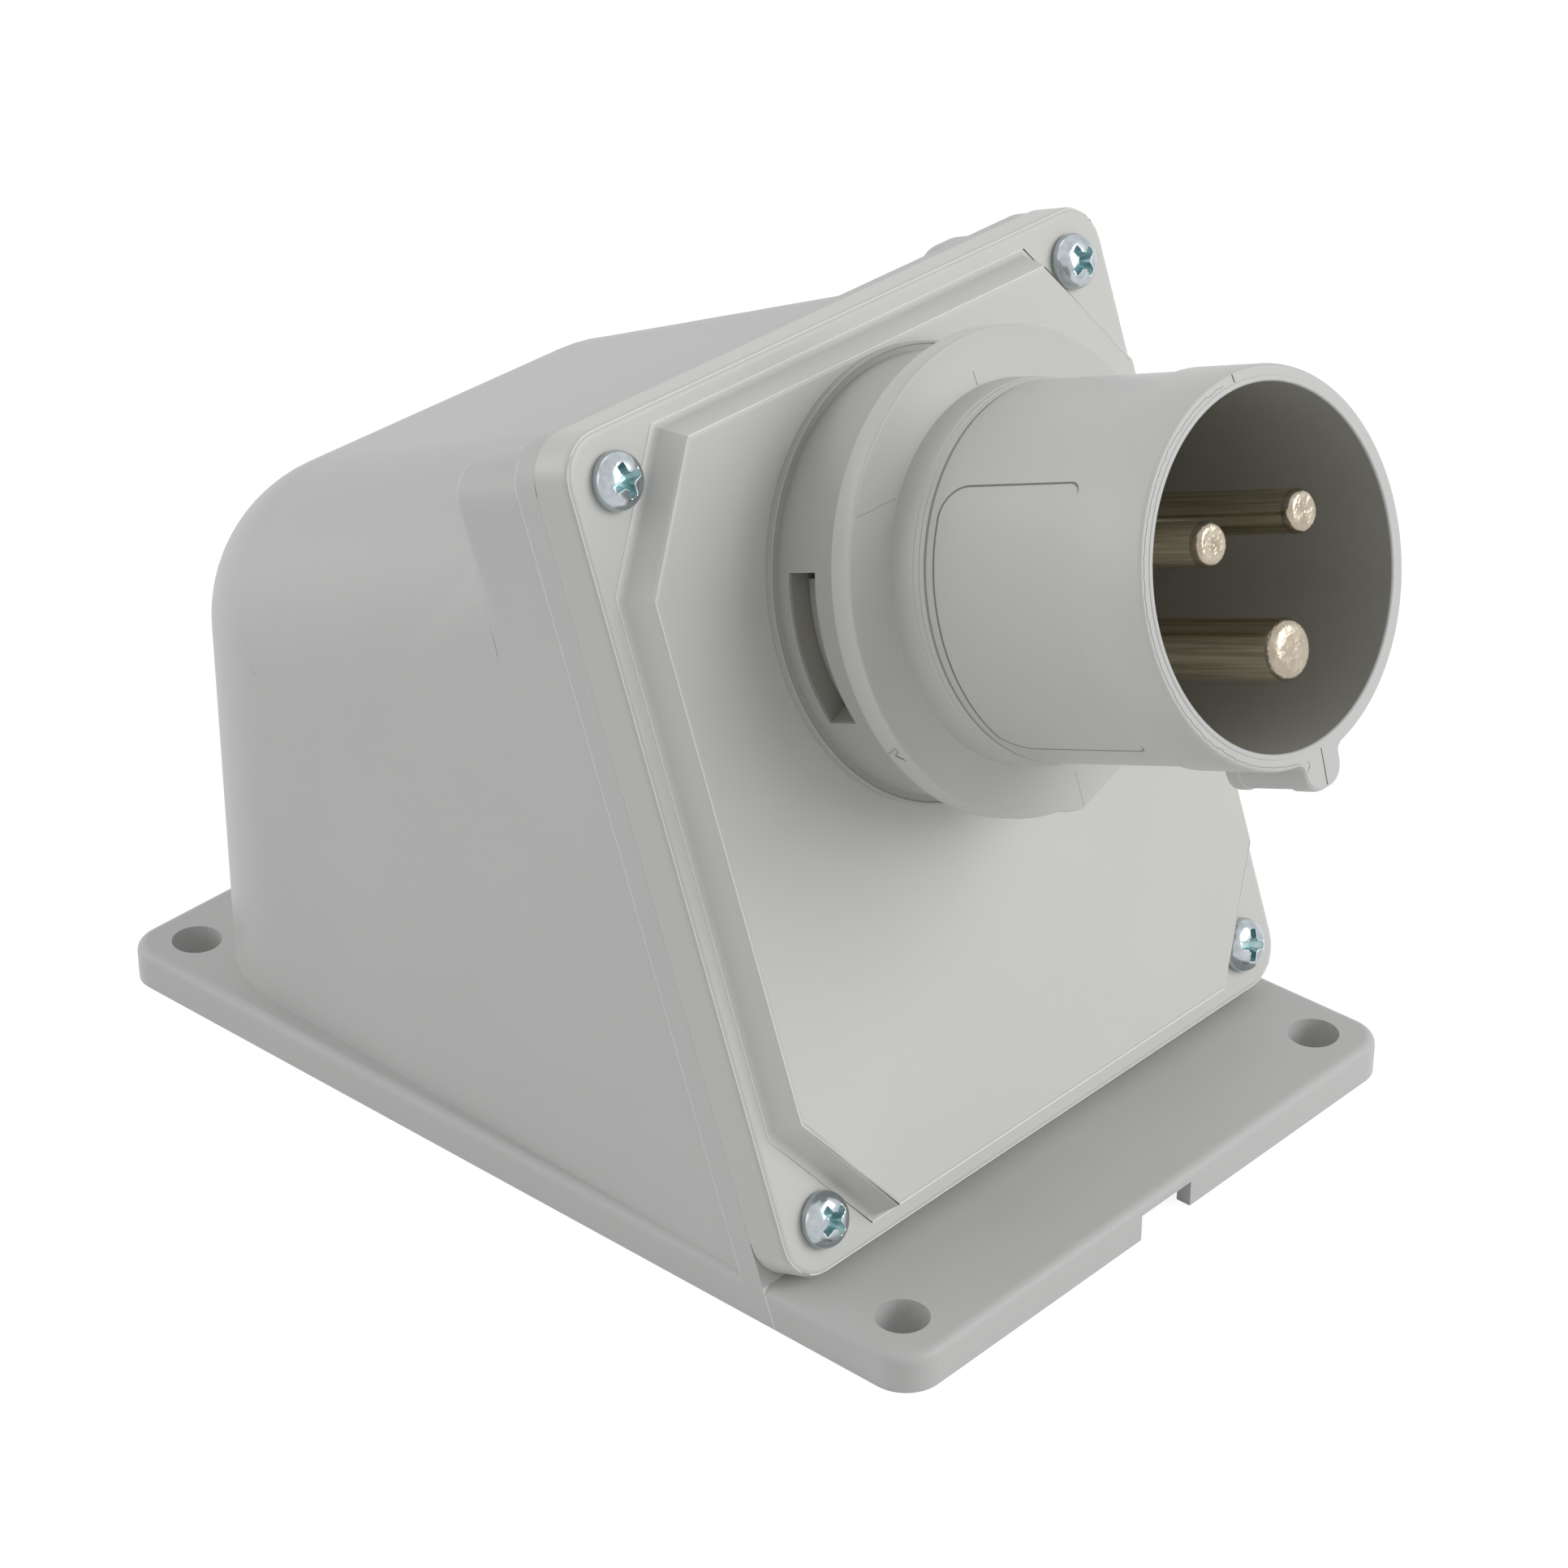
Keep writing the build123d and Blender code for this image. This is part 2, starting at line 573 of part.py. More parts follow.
# Gasket between housing and cover.
with BuildPart() as cover_gasket:
    with BuildSketch(face_plane(FRAME_AT - GASKET_GROOVE_DEPTH)):
        with Locations((0, (GASKET_TOP_U + GASKET_BOTTOM_U) / 2)):
            RectangleRounded(
                2 * GASKET_HALF_W,
                GASKET_TOP_U - GASKET_BOTTOM_U,
                GASKET_CORNER_R,
            )
            RectangleRounded(
                2 * (GASKET_HALF_W - GASKET_W),
                GASKET_TOP_U - GASKET_BOTTOM_U - 2 * GASKET_W,
                GASKET_CORNER_R - GASKET_W,
                mode=Mode.SUBTRACT,
            )
    extrude(amount=GASKET_GROOVE_DEPTH + COVER_GAP)
cover_gasket.part.label = "cover_gasket"


# Pan head screw seated on the cover face, its cross recess turned by the given angle.
def make_cover_screw(place, turn):
    seat = face_plane(COVER_FACE_AT)
    head_plane = Plane(
        origin=seat.from_local_coords((place[0], place[1], 0)),
        x_dir=(1, 0, 0),
        z_dir=(0, -SIN_T, -COS_T),
    )
    with BuildPart() as screw:
        with BuildSketch(head_plane):
            with BuildLine():
                Polyline(
                    (SCREW_HEAD_FLAT_R, SCREW_HEAD_H),
                    (0, SCREW_HEAD_H),
                    (0, -SCREW_LENGTH),
                    (SCREW_TIP_R, -SCREW_LENGTH),
                    (SCREW_SHANK_R, SCREW_TIP_LENGTH - SCREW_LENGTH),
                    (SCREW_SHANK_R, 0),
                    (SCREW_HEAD_R, 0),
                    (SCREW_HEAD_R, SCREW_RIM_H),
                )
                ThreePointArc(
                    (SCREW_HEAD_R, SCREW_RIM_H),
                    (SCREW_HEAD_BULGE_R, SCREW_HEAD_BULGE_H),
                    (SCREW_HEAD_FLAT_R, SCREW_HEAD_H),
                )
            make_face()
        revolve(axis=Axis(head_plane.origin, INLET_DIR))
        with BuildSketch(face_plane(COVER_FACE_AT + SCREW_HEAD_H - SCREW_RECESS_DEPTH)):
            with Locations(Location((place[0], place[1], 0), (0, 0, turn))):
                Rectangle(RECESS_ARM_LENGTH, RECESS_ARM_W)
                Rectangle(RECESS_ARM_W, RECESS_ARM_LENGTH)
        extrude(amount=SCREW_RECESS_DEPTH + OVERRUN, mode=Mode.SUBTRACT)
    return screw.part


cover_screw_upper_near = make_cover_screw(SCREW_PLACES[0], SCREW_TURN_UPPER_NEAR)
cover_screw_upper_far = make_cover_screw(SCREW_PLACES[1], SCREW_TURN_UPPER_FAR)
cover_screw_lower_near = make_cover_screw(SCREW_PLACES[2], SCREW_TURN_LOWER_NEAR)
cover_screw_lower_far = make_cover_screw(SCREW_PLACES[3], SCREW_TURN_LOWER_FAR)
cover_screw_upper_near.label = "cover_screw_upper_near"
cover_screw_upper_far.label = "cover_screw_upper_far"
cover_screw_lower_near.label = "cover_screw_lower_near"
cover_screw_lower_far.label = "cover_screw_lower_far"

# Collar that carries the inlet flange, open at the side by the lock window.
with BuildPart() as mounting_collar:
    with BuildSketch(axis_plane()):
        with BuildLine():
            Polyline(
                (SPIGOT_R + ROUND_PLAY, COVER_INNER_AT),
                (COLLAR_SPIGOT_R, COVER_INNER_AT),
                (COLLAR_SPIGOT_R, PLATEAU_AT),
                (COLLAR_GROOVE_MID_R - COLLAR_GROOVE_W / 2, PLATEAU_AT),
                (COLLAR_GROOVE_MID_R - COLLAR_GROOVE_W / 2, PLATEAU_AT + COLLAR_GROOVE_DEPTH),
                (COLLAR_GROOVE_MID_R + COLLAR_GROOVE_W / 2, PLATEAU_AT + COLLAR_GROOVE_DEPTH),
                (COLLAR_GROOVE_MID_R + COLLAR_GROOVE_W / 2, PLATEAU_AT),
                (COLLAR_FOOT_R, PLATEAU_AT),
                (COLLAR_FOOT_R, PLATEAU_AT + COLLAR_FOOT_H - COLLAR_FOOT_CHAMFER),
                (COLLAR_FOOT_R - COLLAR_FOOT_CHAMFER, PLATEAU_AT + COLLAR_FOOT_H),
                (COLLAR_R, PLATEAU_AT + COLLAR_FOOT_H),
                (COLLAR_R, FLANGE_BACK_AT),
                (SHOULDER_R + ROUND_PLAY, FLANGE_BACK_AT),
                (SHOULDER_R + ROUND_PLAY, SHOULDER_AT),
                (LOCK_RING_R + ROUND_PLAY, SHOULDER_AT),
                (LOCK_RING_R + ROUND_PLAY, LOCK_RING_AT),
                (SPIGOT_R + ROUND_PLAY, LOCK_RING_AT),
                close=True,
            )
        make_face()
    revolve(axis=INLET_AXIS)
    with BuildSketch(face_plane(WINDOW_AT, AXIS_U)):
        window_points = pie(WINDOW_MID - WINDOW_HALF, WINDOW_MID + WINDOW_HALF, 2 * COLLAR_R)
        Polygon(*window_points, align=None)
    extrude(amount=WINDOW_LENGTH, mode=Mode.SUBTRACT)
mounting_collar.part.label = "mounting_collar"

# Seal ring under the collar.
with BuildPart() as inlet_gasket:
    with BuildSketch(face_plane(PLATEAU_AT, AXIS_U)):
        Circle(COLLAR_GROOVE_MID_R + COLLAR_GROOVE_W / 2 - GASKET_PLAY)
        Circle(COLLAR_GROOVE_MID_R - COLLAR_GROOVE_W / 2 + GASKET_PLAY, mode=Mode.SUBTRACT)
    extrude(amount=COLLAR_GROOVE_DEPTH)
inlet_gasket.part.label = "inlet_gasket"

# Open lock ring seen through the window.
with BuildPart() as lock_ring:
    with BuildSketch(face_plane(LOCK_RING_AT, AXIS_U)):
        Circle(LOCK_RING_R)
        Circle(SPIGOT_R + ROUND_PLAY, mode=Mode.SUBTRACT)
        Polygon(*pie(LOCK_GAP_FROM, LOCK_GAP_TO, 2 * COLLAR_R), align=None, mode=Mode.SUBTRACT)
    extrude(amount=SHOULDER_AT - LOCK_RING_AT)
lock_ring.part.label = "lock_ring"

# Inlet moulding: flange, barrel, rim, key, floor and the spigot behind it.
with BuildPart() as inlet_shroud:
    with BuildSketch(axis_plane()):
        with BuildLine():
            Polyline(
                (0, FLOOR_AT),
                (0, FLOOR_BACK_AT),
                (SPIGOT_BORE_R, FLOOR_BACK_AT),
                (SPIGOT_BORE_R, SPIGOT_END_AT),
                (SPIGOT_R, SPIGOT_END_AT),
                (SPIGOT_R, SHOULDER_AT),
                (SHOULDER_R, SHOULDER_AT),
                (SHOULDER_R, FLANGE_BACK_AT),
                (FLANGE_R, FLANGE_BACK_AT),
                (FLANGE_R, FLANGE_FRONT_AT - FLANGE_CHAMFER),
                (FLANGE_R - FLANGE_CHAMFER, FLANGE_FRONT_AT),
                (RING_R, FLANGE_FRONT_AT),
                (RING_R, RING_TOP_AT),
                (BARREL_R, RING_TOP_AT + RING_CHAMFER),
                (BARREL_R, BAND_AT),
                (RIM_R, BAND_AT + BAND_TAPER_LENGTH),
                (RIM_R, RIM_AT - RIM_CHAMFER),
                (RIM_R - RIM_CHAMFER, RIM_AT),
                (BORE_R, RIM_AT),
                (BORE_R, FLOOR_AT),
                close=True,
            )
        make_face()
    revolve(axis=INLET_AXIS)
    with BuildSketch(face_plane(KEY_BACK_AT, AXIS_U)) as key_outline:
        with Locations((0, -(KEY_OUT_R + BARREL_R - OVERRUN) / 2)):
            Rectangle(KEY_W, KEY_OUT_R - BARREL_R + OVERRUN)
        fillet(key_outline.vertices().group_by(Axis.Y)[0], KEY_CORNER_R)
    extrude(amount=RIM_AT - KEY_BACK_AT)
    with BuildSketch(face_plane(FLOOR_BACK_AT, AXIS_U)):
        with Locations(*PHASE_PLACES):
            Circle(PHASE_PIN_R + PIN_SEAT_STEP + PIN_SEAT_PLAY)
        with Locations(EARTH_PLACE):
            Circle(EARTH_PIN_R + PIN_SEAT_STEP + PIN_SEAT_PLAY)
    extrude(amount=FLOOR_THICKNESS, mode=Mode.SUBTRACT)
    with BuildSketch(face_plane(FLOOR_BACK_AT, AXIS_U)):
        with Locations(*CARRIER_SCREW_PLACES):
            Circle(CARRIER_SCREW_R + ROUND_PLAY)
    extrude(amount=CARRIER_SCREW_GRIP + ROUND_PLAY, mode=Mode.SUBTRACT)
inlet_shroud.part.label = "inlet_shroud"

# Nut that draws flange, collar and cover together.
with BuildPart() as inlet_nut:
    with BuildSketch(face_plane(COVER_INNER_AT, AXIS_U)):
        Circle(NUT_R)
        Circle(SPIGOT_R + ROUND_PLAY, mode=Mode.SUBTRACT)
        with PolarLocations(NUT_R, NUT_NOTCHES):
            Rectangle(2 * NUT_NOTCH_DEPTH, NUT_NOTCH_W, mode=Mode.SUBTRACT)
    extrude(amount=-NUT_THICKNESS)
inlet_nut.part.label = "inlet_nut"

# Insulating carrier with its pin seats and screw holes.
with BuildPart() as pin_carrier:
    with BuildSketch(face_plane(CARRIER_REAR_AT, AXIS_U)):
        Circle(CARRIER_R)
    extrude(amount=FLOOR_BACK_AT - CARRIER_REAR_AT)
    with BuildSketch(face_plane(CARRIER_REAR_AT, AXIS_U)):
        with Locations(*PHASE_PLACES):
            Circle(PHASE_PIN_R + TERMINAL_STEP + ROUND_PLAY)
        with Locations(EARTH_PLACE):
            Circle(EARTH_PIN_R + TERMINAL_STEP + ROUND_PLAY)
        with Locations(*CARRIER_SCREW_PLACES):
            Circle(CARRIER_SCREW_R + ROUND_PLAY)
    extrude(amount=FLOOR_BACK_AT - CARRIER_REAR_AT, mode=Mode.SUBTRACT)
    with BuildSketch(face_plane(FLOOR_BACK_AT, AXIS_U)):
        with Locations(*PHASE_PLACES):
            Circle(PHASE_PIN_R + PIN_FLANGE_STEP + ROUND_PLAY)
        with Locations(EARTH_PLACE):
            Circle(EARTH_PIN_R + PIN_FLANGE_STEP + ROUND_PLAY)
    extrude(amount=-PIN_FLANGE_THICKNESS, mode=Mode.SUBTRACT)
pin_carrier.part.label = "pin_carrier"


# Turned contact pin: chamfered tip, flange in the carrier, bored terminal end.
def make_pin(angle, pin_r, tip_at):
    place = on_circle(PIN_CIRCLE_R, angle)
    seat = face_plane(0, AXIS_U)
    base = Plane(
        origin=seat.from_local_coords((place[0], place[1], 0)),
        x_dir=(1, 0, 0),
        z_dir=(0, -SIN_T, -COS_T),
    )
    terminal_r = pin_r + TERMINAL_STEP
    with BuildPart() as pin:
        with BuildSketch(base):
            with BuildLine():
                Polyline(
                    (0, TERMINAL_END_AT),
                    (terminal_r, TERMINAL_END_AT),
                    (terminal_r, FLOOR_BACK_AT - PIN_FLANGE_THICKNESS),
                    (pin_r + PIN_FLANGE_STEP, FLOOR_BACK_AT - PIN_FLANGE_THICKNESS),
                    (pin_r + PIN_FLANGE_STEP, FLOOR_BACK_AT),
                    (pin_r + PIN_SEAT_STEP, FLOOR_BACK_AT),
                    (pin_r + PIN_SEAT_STEP, FLOOR_AT),
                    (pin_r, FLOOR_AT),
                    (pin_r, tip_at - PIN_TAPER_LENGTH),
                    (pin_r - PIN_TAPER_W / 3, tip_at - PIN_TAPER_LENGTH / 3),
                    (pin_r - PIN_TAPER_W, tip_at),
                    (0, tip_at),
                    close=True,
                )
            make_face()
        revolve(axis=Axis(base.origin, INLET_DIR))
        with BuildSketch(face_plane(TERMINAL_END_AT, AXIS_U)):
            with Locations(place):
                Circle(terminal_r - TERMINAL_WALL)
        extrude(amount=TERMINAL_BORE_LENGTH, mode=Mode.SUBTRACT)
        with BuildSketch(radial_plane(angle, CLAMP_AT).offset(PIN_CIRCLE_R)):
            Circle(CLAMP_SHANK_R + ROUND_PLAY)
        extrude(amount=2 * pin_r, mode=Mode.SUBTRACT)
    return pin.part


pin_line = make_pin(LINE_ANGLE, PHASE_PIN_R, RIM_AT + PHASE_TIP_STEP)
pin_neutral = make_pin(NEUTRAL_ANGLE, PHASE_PIN_R, RIM_AT + PHASE_TIP_STEP)
pin_earth = make_pin(EARTH_ANGLE, EARTH_PIN_R, RIM_AT + EARTH_TIP_STEP)
pin_line.label = "pin_line"
pin_neutral.label = "pin_neutral"
pin_earth.label = "pin_earth"


# Slotted clamp screw in the side of a terminal.
def make_clamp_screw(angle, pin_r):
    seat = radial_plane(angle, CLAMP_AT).offset(PIN_CIRCLE_R)
    head_at = pin_r + TERMINAL_STEP + CLAMP_HEAD_PLAY
    with BuildPart() as screw:
        with BuildSketch(seat):
            Circle(CLAMP_SHANK_R)
        extrude(amount=head_at)
        with BuildSketch(seat.offset(head_at)):
            Circle(CLAMP_HEAD_R)
        extrude(amount=CLAMP_HEAD_H)
        with BuildSketch(seat.offset(head_at + CLAMP_HEAD_H)):
            Rectangle(3 * CLAMP_HEAD_R, CLAMP_SLOT_W)
        extrude(amount=-CLAMP_SLOT_DEPTH, mode=Mode.SUBTRACT)
    return screw.part


clamp_screw_line = make_clamp_screw(LINE_ANGLE, PHASE_PIN_R)
clamp_screw_neutral = make_clamp_screw(NEUTRAL_ANGLE, PHASE_PIN_R)
clamp_screw_earth = make_clamp_screw(EARTH_ANGLE, EARTH_PIN_R)
clamp_screw_line.label = "clamp_screw_line"
clamp_screw_neutral.label = "clamp_screw_neutral"
clamp_screw_earth.label = "clamp_screw_earth"


# Screw that holds the carrier to the floor of the inlet.
def make_carrier_screw(place):
    head_n = CARRIER_REAR_AT - CARRIER_SCREW_HEAD_H
    with BuildPart() as screw:
        with BuildSketch(face_plane(head_n, AXIS_U)):
            with Locations(place):
                Circle(CARRIER_SCREW_HEAD_R)
        extrude(amount=CARRIER_SCREW_HEAD_H)
        with BuildSketch(face_plane(CARRIER_REAR_AT, AXIS_U)):
            with Locations(place):
                Circle(CARRIER_SCREW_R)
        extrude(amount=FLOOR_BACK_AT + CARRIER_SCREW_GRIP - CARRIER_REAR_AT)
        with BuildSketch(face_plane(head_n, AXIS_U)):
            with Locations(place):
                Rectangle(CARRIER_RECESS_LENGTH, CARRIER_RECESS_W)
                Rectangle(CARRIER_RECESS_W, CARRIER_RECESS_LENGTH)
        extrude(amount=CARRIER_RECESS_DEPTH, mode=Mode.SUBTRACT)
    return screw.part


carrier_screw_a = make_carrier_screw(CARRIER_SCREW_PLACES[0])
carrier_screw_b = make_carrier_screw(CARRIER_SCREW_PLACES[1])
carrier_screw_a.label = "carrier_screw_a"
carrier_screw_b.label = "carrier_screw_b"

# Rubber membrane grommet in the cable entry.
with BuildPart() as cable_grommet:
    wall_in = BODY_REAR_Y - BODY_WALL
    nose_y = wall_in - GROMMET_NOSE_DEPTH
    flange_y = BODY_REAR_Y + GROMMET_FLANGE_THICKNESS
    neck_r = ENTRY_R - ROUND_PLAY
    skin_r = neck_r - GROMMET_WALL
    with BuildSketch(Plane.XY.offset(ENTRY_Z)):
        with BuildLine():
            Polyline(
                (0, wall_in),
                (skin_r, wall_in),
                (skin_r, nose_y),
                (neck_r, nose_y),
                (GROMMET_LIP_R, wall_in - GROMMET_LIP_THICKNESS),
                (GROMMET_LIP_R, wall_in),
                (neck_r, wall_in),
                (neck_r, BODY_REAR_Y),
                (GROMMET_FLANGE_R, BODY_REAR_Y),
                (GROMMET_FLANGE_R - GROMMET_FLANGE_TAPER, flange_y),
                (skin_r + GROMMET_FLANGE_TAPER, flange_y),
                (skin_r, wall_in + GROMMET_SKIN_THICKNESS),
                (0, wall_in + GROMMET_SKIN_THICKNESS),
                close=True,
            )
        make_face()
    revolve(axis=Axis((0, 0, ENTRY_Z), (0, 1, 0)))
cable_grommet.part.label = "cable_grommet"

for piece in (
    housing.part,
    cover.part,
    cover_gasket.part,
    cover_screw_upper_near,
    cover_screw_upper_far,
    cover_screw_lower_near,
    cover_screw_lower_far,
    mounting_collar.part,
    inlet_gasket.part,
    lock_ring.part,
    inlet_shroud.part,
    inlet_nut.part,
    pin_carrier.part,
    carrier_screw_a,
    carrier_screw_b,
    pin_line,
    pin_neutral,
    pin_earth,
    clamp_screw_line,
    clamp_screw_neutral,
    clamp_screw_earth,
    cable_grommet.part,
):
    export_step(piece, "parts/" + piece.label + ".step")
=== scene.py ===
import math

import bmesh
import bpy
import mathutils
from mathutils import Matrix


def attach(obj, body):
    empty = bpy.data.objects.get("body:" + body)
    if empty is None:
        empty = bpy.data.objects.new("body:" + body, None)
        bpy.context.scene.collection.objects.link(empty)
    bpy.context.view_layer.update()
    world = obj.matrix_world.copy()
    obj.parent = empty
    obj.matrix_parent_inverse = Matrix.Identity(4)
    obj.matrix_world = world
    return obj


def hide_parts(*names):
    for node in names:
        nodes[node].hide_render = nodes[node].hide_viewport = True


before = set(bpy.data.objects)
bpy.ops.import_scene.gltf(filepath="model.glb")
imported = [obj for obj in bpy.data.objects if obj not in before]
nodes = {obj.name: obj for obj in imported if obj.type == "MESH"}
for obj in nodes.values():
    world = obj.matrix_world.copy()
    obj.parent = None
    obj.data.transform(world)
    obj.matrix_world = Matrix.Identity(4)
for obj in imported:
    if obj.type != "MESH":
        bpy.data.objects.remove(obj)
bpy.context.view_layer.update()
WHITE = (1.0, 1.0, 1.0, 1.0)

# Camera fitted to the photograph: place, view direction and lens, for a square picture.
camera_data = bpy.data.cameras.new("view")
camera_data.sensor_width = 36.0
camera_data.lens = 105.404
camera_data.clip_start = 0.01
camera_data.clip_end = 20.0
camera = bpy.data.objects.new("view", camera_data)
bpy.context.collection.objects.link(camera)
TURN = math.radians(42.05)
DOWN = math.radians(30.34)
ROLL = math.radians(-0.05)
forward = mathutils.Vector((math.cos(TURN) * math.cos(DOWN), math.sin(TURN) * math.cos(DOWN), -math.sin(DOWN)))
level = mathutils.Vector((math.sin(TURN), -math.cos(TURN), 0.0))
upward = level.cross(forward)
right = math.cos(ROLL) * level + math.sin(ROLL) * upward
top = math.cos(ROLL) * upward - math.sin(ROLL) * level
turned_view = mathutils.Matrix((right, top, -forward)).transposed().to_4x4()
camera.matrix_world = mathutils.Matrix.Translation((-0.36033, -0.33153, 0.32118)) @ turned_view
bpy.context.scene.camera = camera
bpy.context.scene.view_settings.view_transform = "Standard"


# Adds a math node to a tree; inputs are sockets or plain numbers.
def maths(tree, operation, *inputs):
    node = tree.nodes.new("ShaderNodeMath")
    node.operation = operation
    for place, value in enumerate(inputs):
        if isinstance(value, float):
            node.inputs[place].default_value = value
        else:
            tree.links.new(value, node.inputs[place])
    return node.outputs["Value"]


# One where a ray comes from the camera, or goes on from it by a mirror or a clear part.
def seen_rays(tree):
    path = tree.nodes.new("ShaderNodeLightPath")
    either = maths(tree, "MAXIMUM", path.outputs["Is Camera Ray"], path.outputs["Is Glossy Ray"])
    return maths(tree, "MAXIMUM", either, path.outputs["Is Transmission Ray"])


# Studio room: an even pale light from all round.  What is seen past the object, also in
# metal, gloss or through a clear part, is plain white.
world = bpy.data.worlds.new("studio")
bpy.context.scene.world = world
world.use_nodes = True
tree = world.node_tree
tree.nodes.clear()
output = tree.nodes.new("ShaderNodeOutputWorld")
mix = tree.nodes.new("ShaderNodeMixShader")
room = tree.nodes.new("ShaderNodeBackground")
room.inputs["Color"].default_value = WHITE
room.inputs["Strength"].default_value = 0.45
seen = tree.nodes.new("ShaderNodeBackground")
seen.inputs["Color"].default_value = WHITE
seen.inputs["Strength"].default_value = 1.0
tree.links.new(seen_rays(tree), mix.inputs["Fac"])
tree.links.new(room.outputs["Background"], mix.inputs[1])
tree.links.new(seen.outputs["Background"], mix.inputs[2])
tree.links.new(mix.outputs["Shader"], output.inputs["Surface"])


PANEL_SIDE = 0.8
PANEL_AIM = mathutils.Vector((0.0, 0.0, 0.05))


# A square soft light at one place, aimed at the middle of the part.
def soft_panel(name, place, power):
    data = bpy.data.lights.new(name, "AREA")
    data.shape = "SQUARE"
    data.size = PANEL_SIDE
    data.energy = power
    lamp = bpy.data.objects.new(name, data)
    bpy.context.collection.objects.link(lamp)
    away = mathutils.Vector(place) - PANEL_AIM
    aimed = away.to_track_quat("Z", "Y").to_matrix().to_4x4()
    lamp.matrix_world = mathutils.Matrix.Translation(place) @ aimed


# Soft panels: the main one from the front right, and three weak ones behind the part that
# lift its top and its rear corners.
soft_panel("front_panel", (0.60, -1.10, 0.65), 8.0)
soft_panel("high_panel", (0.00, 0.95, 1.05), 1.3)
soft_panel("back_panel", (-0.65, 1.10, 0.50), 2.5)
soft_panel("near_panel", (-1.10, 0.65, 0.50), 1.9)

# Floor: plain white, lit enough to clear to white, and keeping a light contact shadow.
floor_mesh = bpy.data.meshes.new("floor")
shape = bmesh.new()
bmesh.ops.create_grid(shape, x_segments=1, y_segments=1, size=4.0)
shape.to_mesh(floor_mesh)
shape.free()
floor = bpy.data.objects.new("floor", floor_mesh)
bpy.context.collection.objects.link(floor)
floor_paint = bpy.data.materials.new("floor_white")
floor_paint.use_nodes = True
tree = floor_paint.node_tree
tree.nodes.clear()
output = tree.nodes.new("ShaderNodeOutputMaterial")
outer = tree.nodes.new("ShaderNodeMixShader")
inner = tree.nodes.new("ShaderNodeMixShader")
matt = tree.nodes.new("ShaderNodeBsdfDiffuse")
matt.inputs["Color"].default_value = (0.80, 0.80, 0.80, 1.0)
glow = tree.nodes.new("ShaderNodeEmission")
glow.inputs["Color"].default_value = WHITE
glow.inputs["Strength"].default_value = 1.28
inner.inputs["Fac"].default_value = 0.70
tree.links.new(seen_rays(tree), outer.inputs["Fac"])
tree.links.new(matt.outputs["BSDF"], outer.inputs[1])
tree.links.new(inner.outputs["Shader"], outer.inputs[2])
tree.links.new(matt.outputs["BSDF"], inner.inputs[1])
tree.links.new(glow.outputs["Emission"], inner.inputs[2])
tree.links.new(outer.outputs["Shader"], output.inputs["Surface"])
floor_mesh.materials.append(floor_paint)

# Frame of the tilted inlet: x across, y up the cover, z out along the inlet axis.
# Its own numbers are millimetres, as on a drawing; the matrix brings them to metres.
MM = 0.001
TILT = math.radians(20.0)
AXIS_U = 59.8
ACROSS = mathutils.Vector((MM, 0.0, 0.0))
UP_COVER = mathutils.Vector((0.0, math.sin(TILT), math.cos(TILT))) * MM
ALONG = mathutils.Vector((0.0, -math.cos(TILT), math.sin(TILT))) * MM
INLET_TURN = mathutils.Matrix((ACROSS, UP_COVER, ALONG)).transposed().to_4x4()
INLET = mathutils.Matrix.Translation(UP_COVER * AXIS_U) @ INLET_TURN


# Turns a closed profile of (radius, station) round the axis into a bmesh.
def turned(profile, steps):
    shape = bmesh.new()
    points = [shape.verts.new((radius, 0.0, station)) for radius, station in profile]
    runs = [shape.edges.new((first, second)) for first, second in zip(points, points[1:])]
    runs.append(shape.edges.new((points[-1], points[0])))
    bmesh.ops.spin(
        shape,
        geom=points + runs,
        cent=(0.0, 0.0, 0.0),
        axis=(0.0, 0.0, 1.0),
        dvec=(0.0, 0.0, 0.0),
        angle=2 * math.pi,
        steps=steps,
        use_merge=True,
    )
    bmesh.ops.remove_doubles(shape, verts=shape.verts, dist=0.0005)
    bmesh.ops.dissolve_degenerate(shape, edges=shape.edges, dist=0.0002)
    loose = [edge for edge in shape.edges if not edge.link_faces]
    bmesh.ops.delete(shape, geom=loose, context="EDGES")
    bmesh.ops.recalc_face_normals(shape, faces=shape.faces)
    return shape


# Joins rows of vertices, one after the other, into a closed skin with flat ends.
def skin(shape, rows):
    count = len(rows[0])
    for first, second in zip(rows, rows[1:]):
        for place in range(count):
            after = (place + 1) % count
            shape.faces.new((first[place], first[after], second[after], second[place]))
    shape.faces.new(rows[0])
    shape.faces.new(rows[-1])


# A body through rings of points, one after the other.
def swept(rings):
    shape = bmesh.new()
    skin(shape, [[shape.verts.new(point) for point in ring] for ring in rings])
    bmesh.ops.recalc_face_normals(shape, faces=shape.faces)
    return shape


# Shades a mesh smooth, but keeps the edges that are sharper than an angle in degrees.
def smooth(mesh, sharp_from=32.0):
    mesh.shade_smooth()
    mesh.set_sharp_from_angle(angle=math.radians(sharp_from))


# Makes an object of a bmesh: moved to its place, smooth except at real edges.
def make_piece(name, shape, matrix, *paints):
    bmesh.ops.transform(shape, matrix=matrix, verts=shape.verts)
    mesh = bpy.data.meshes.new(name)
    shape.to_mesh(mesh)
    shape.free()
    smooth(mesh)
    piece = bpy.data.objects.new(name, mesh)
    bpy.context.collection.objects.link(piece)
    for paint in paints:
        mesh.materials.append(paint)
    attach(piece, "root")
    return piece


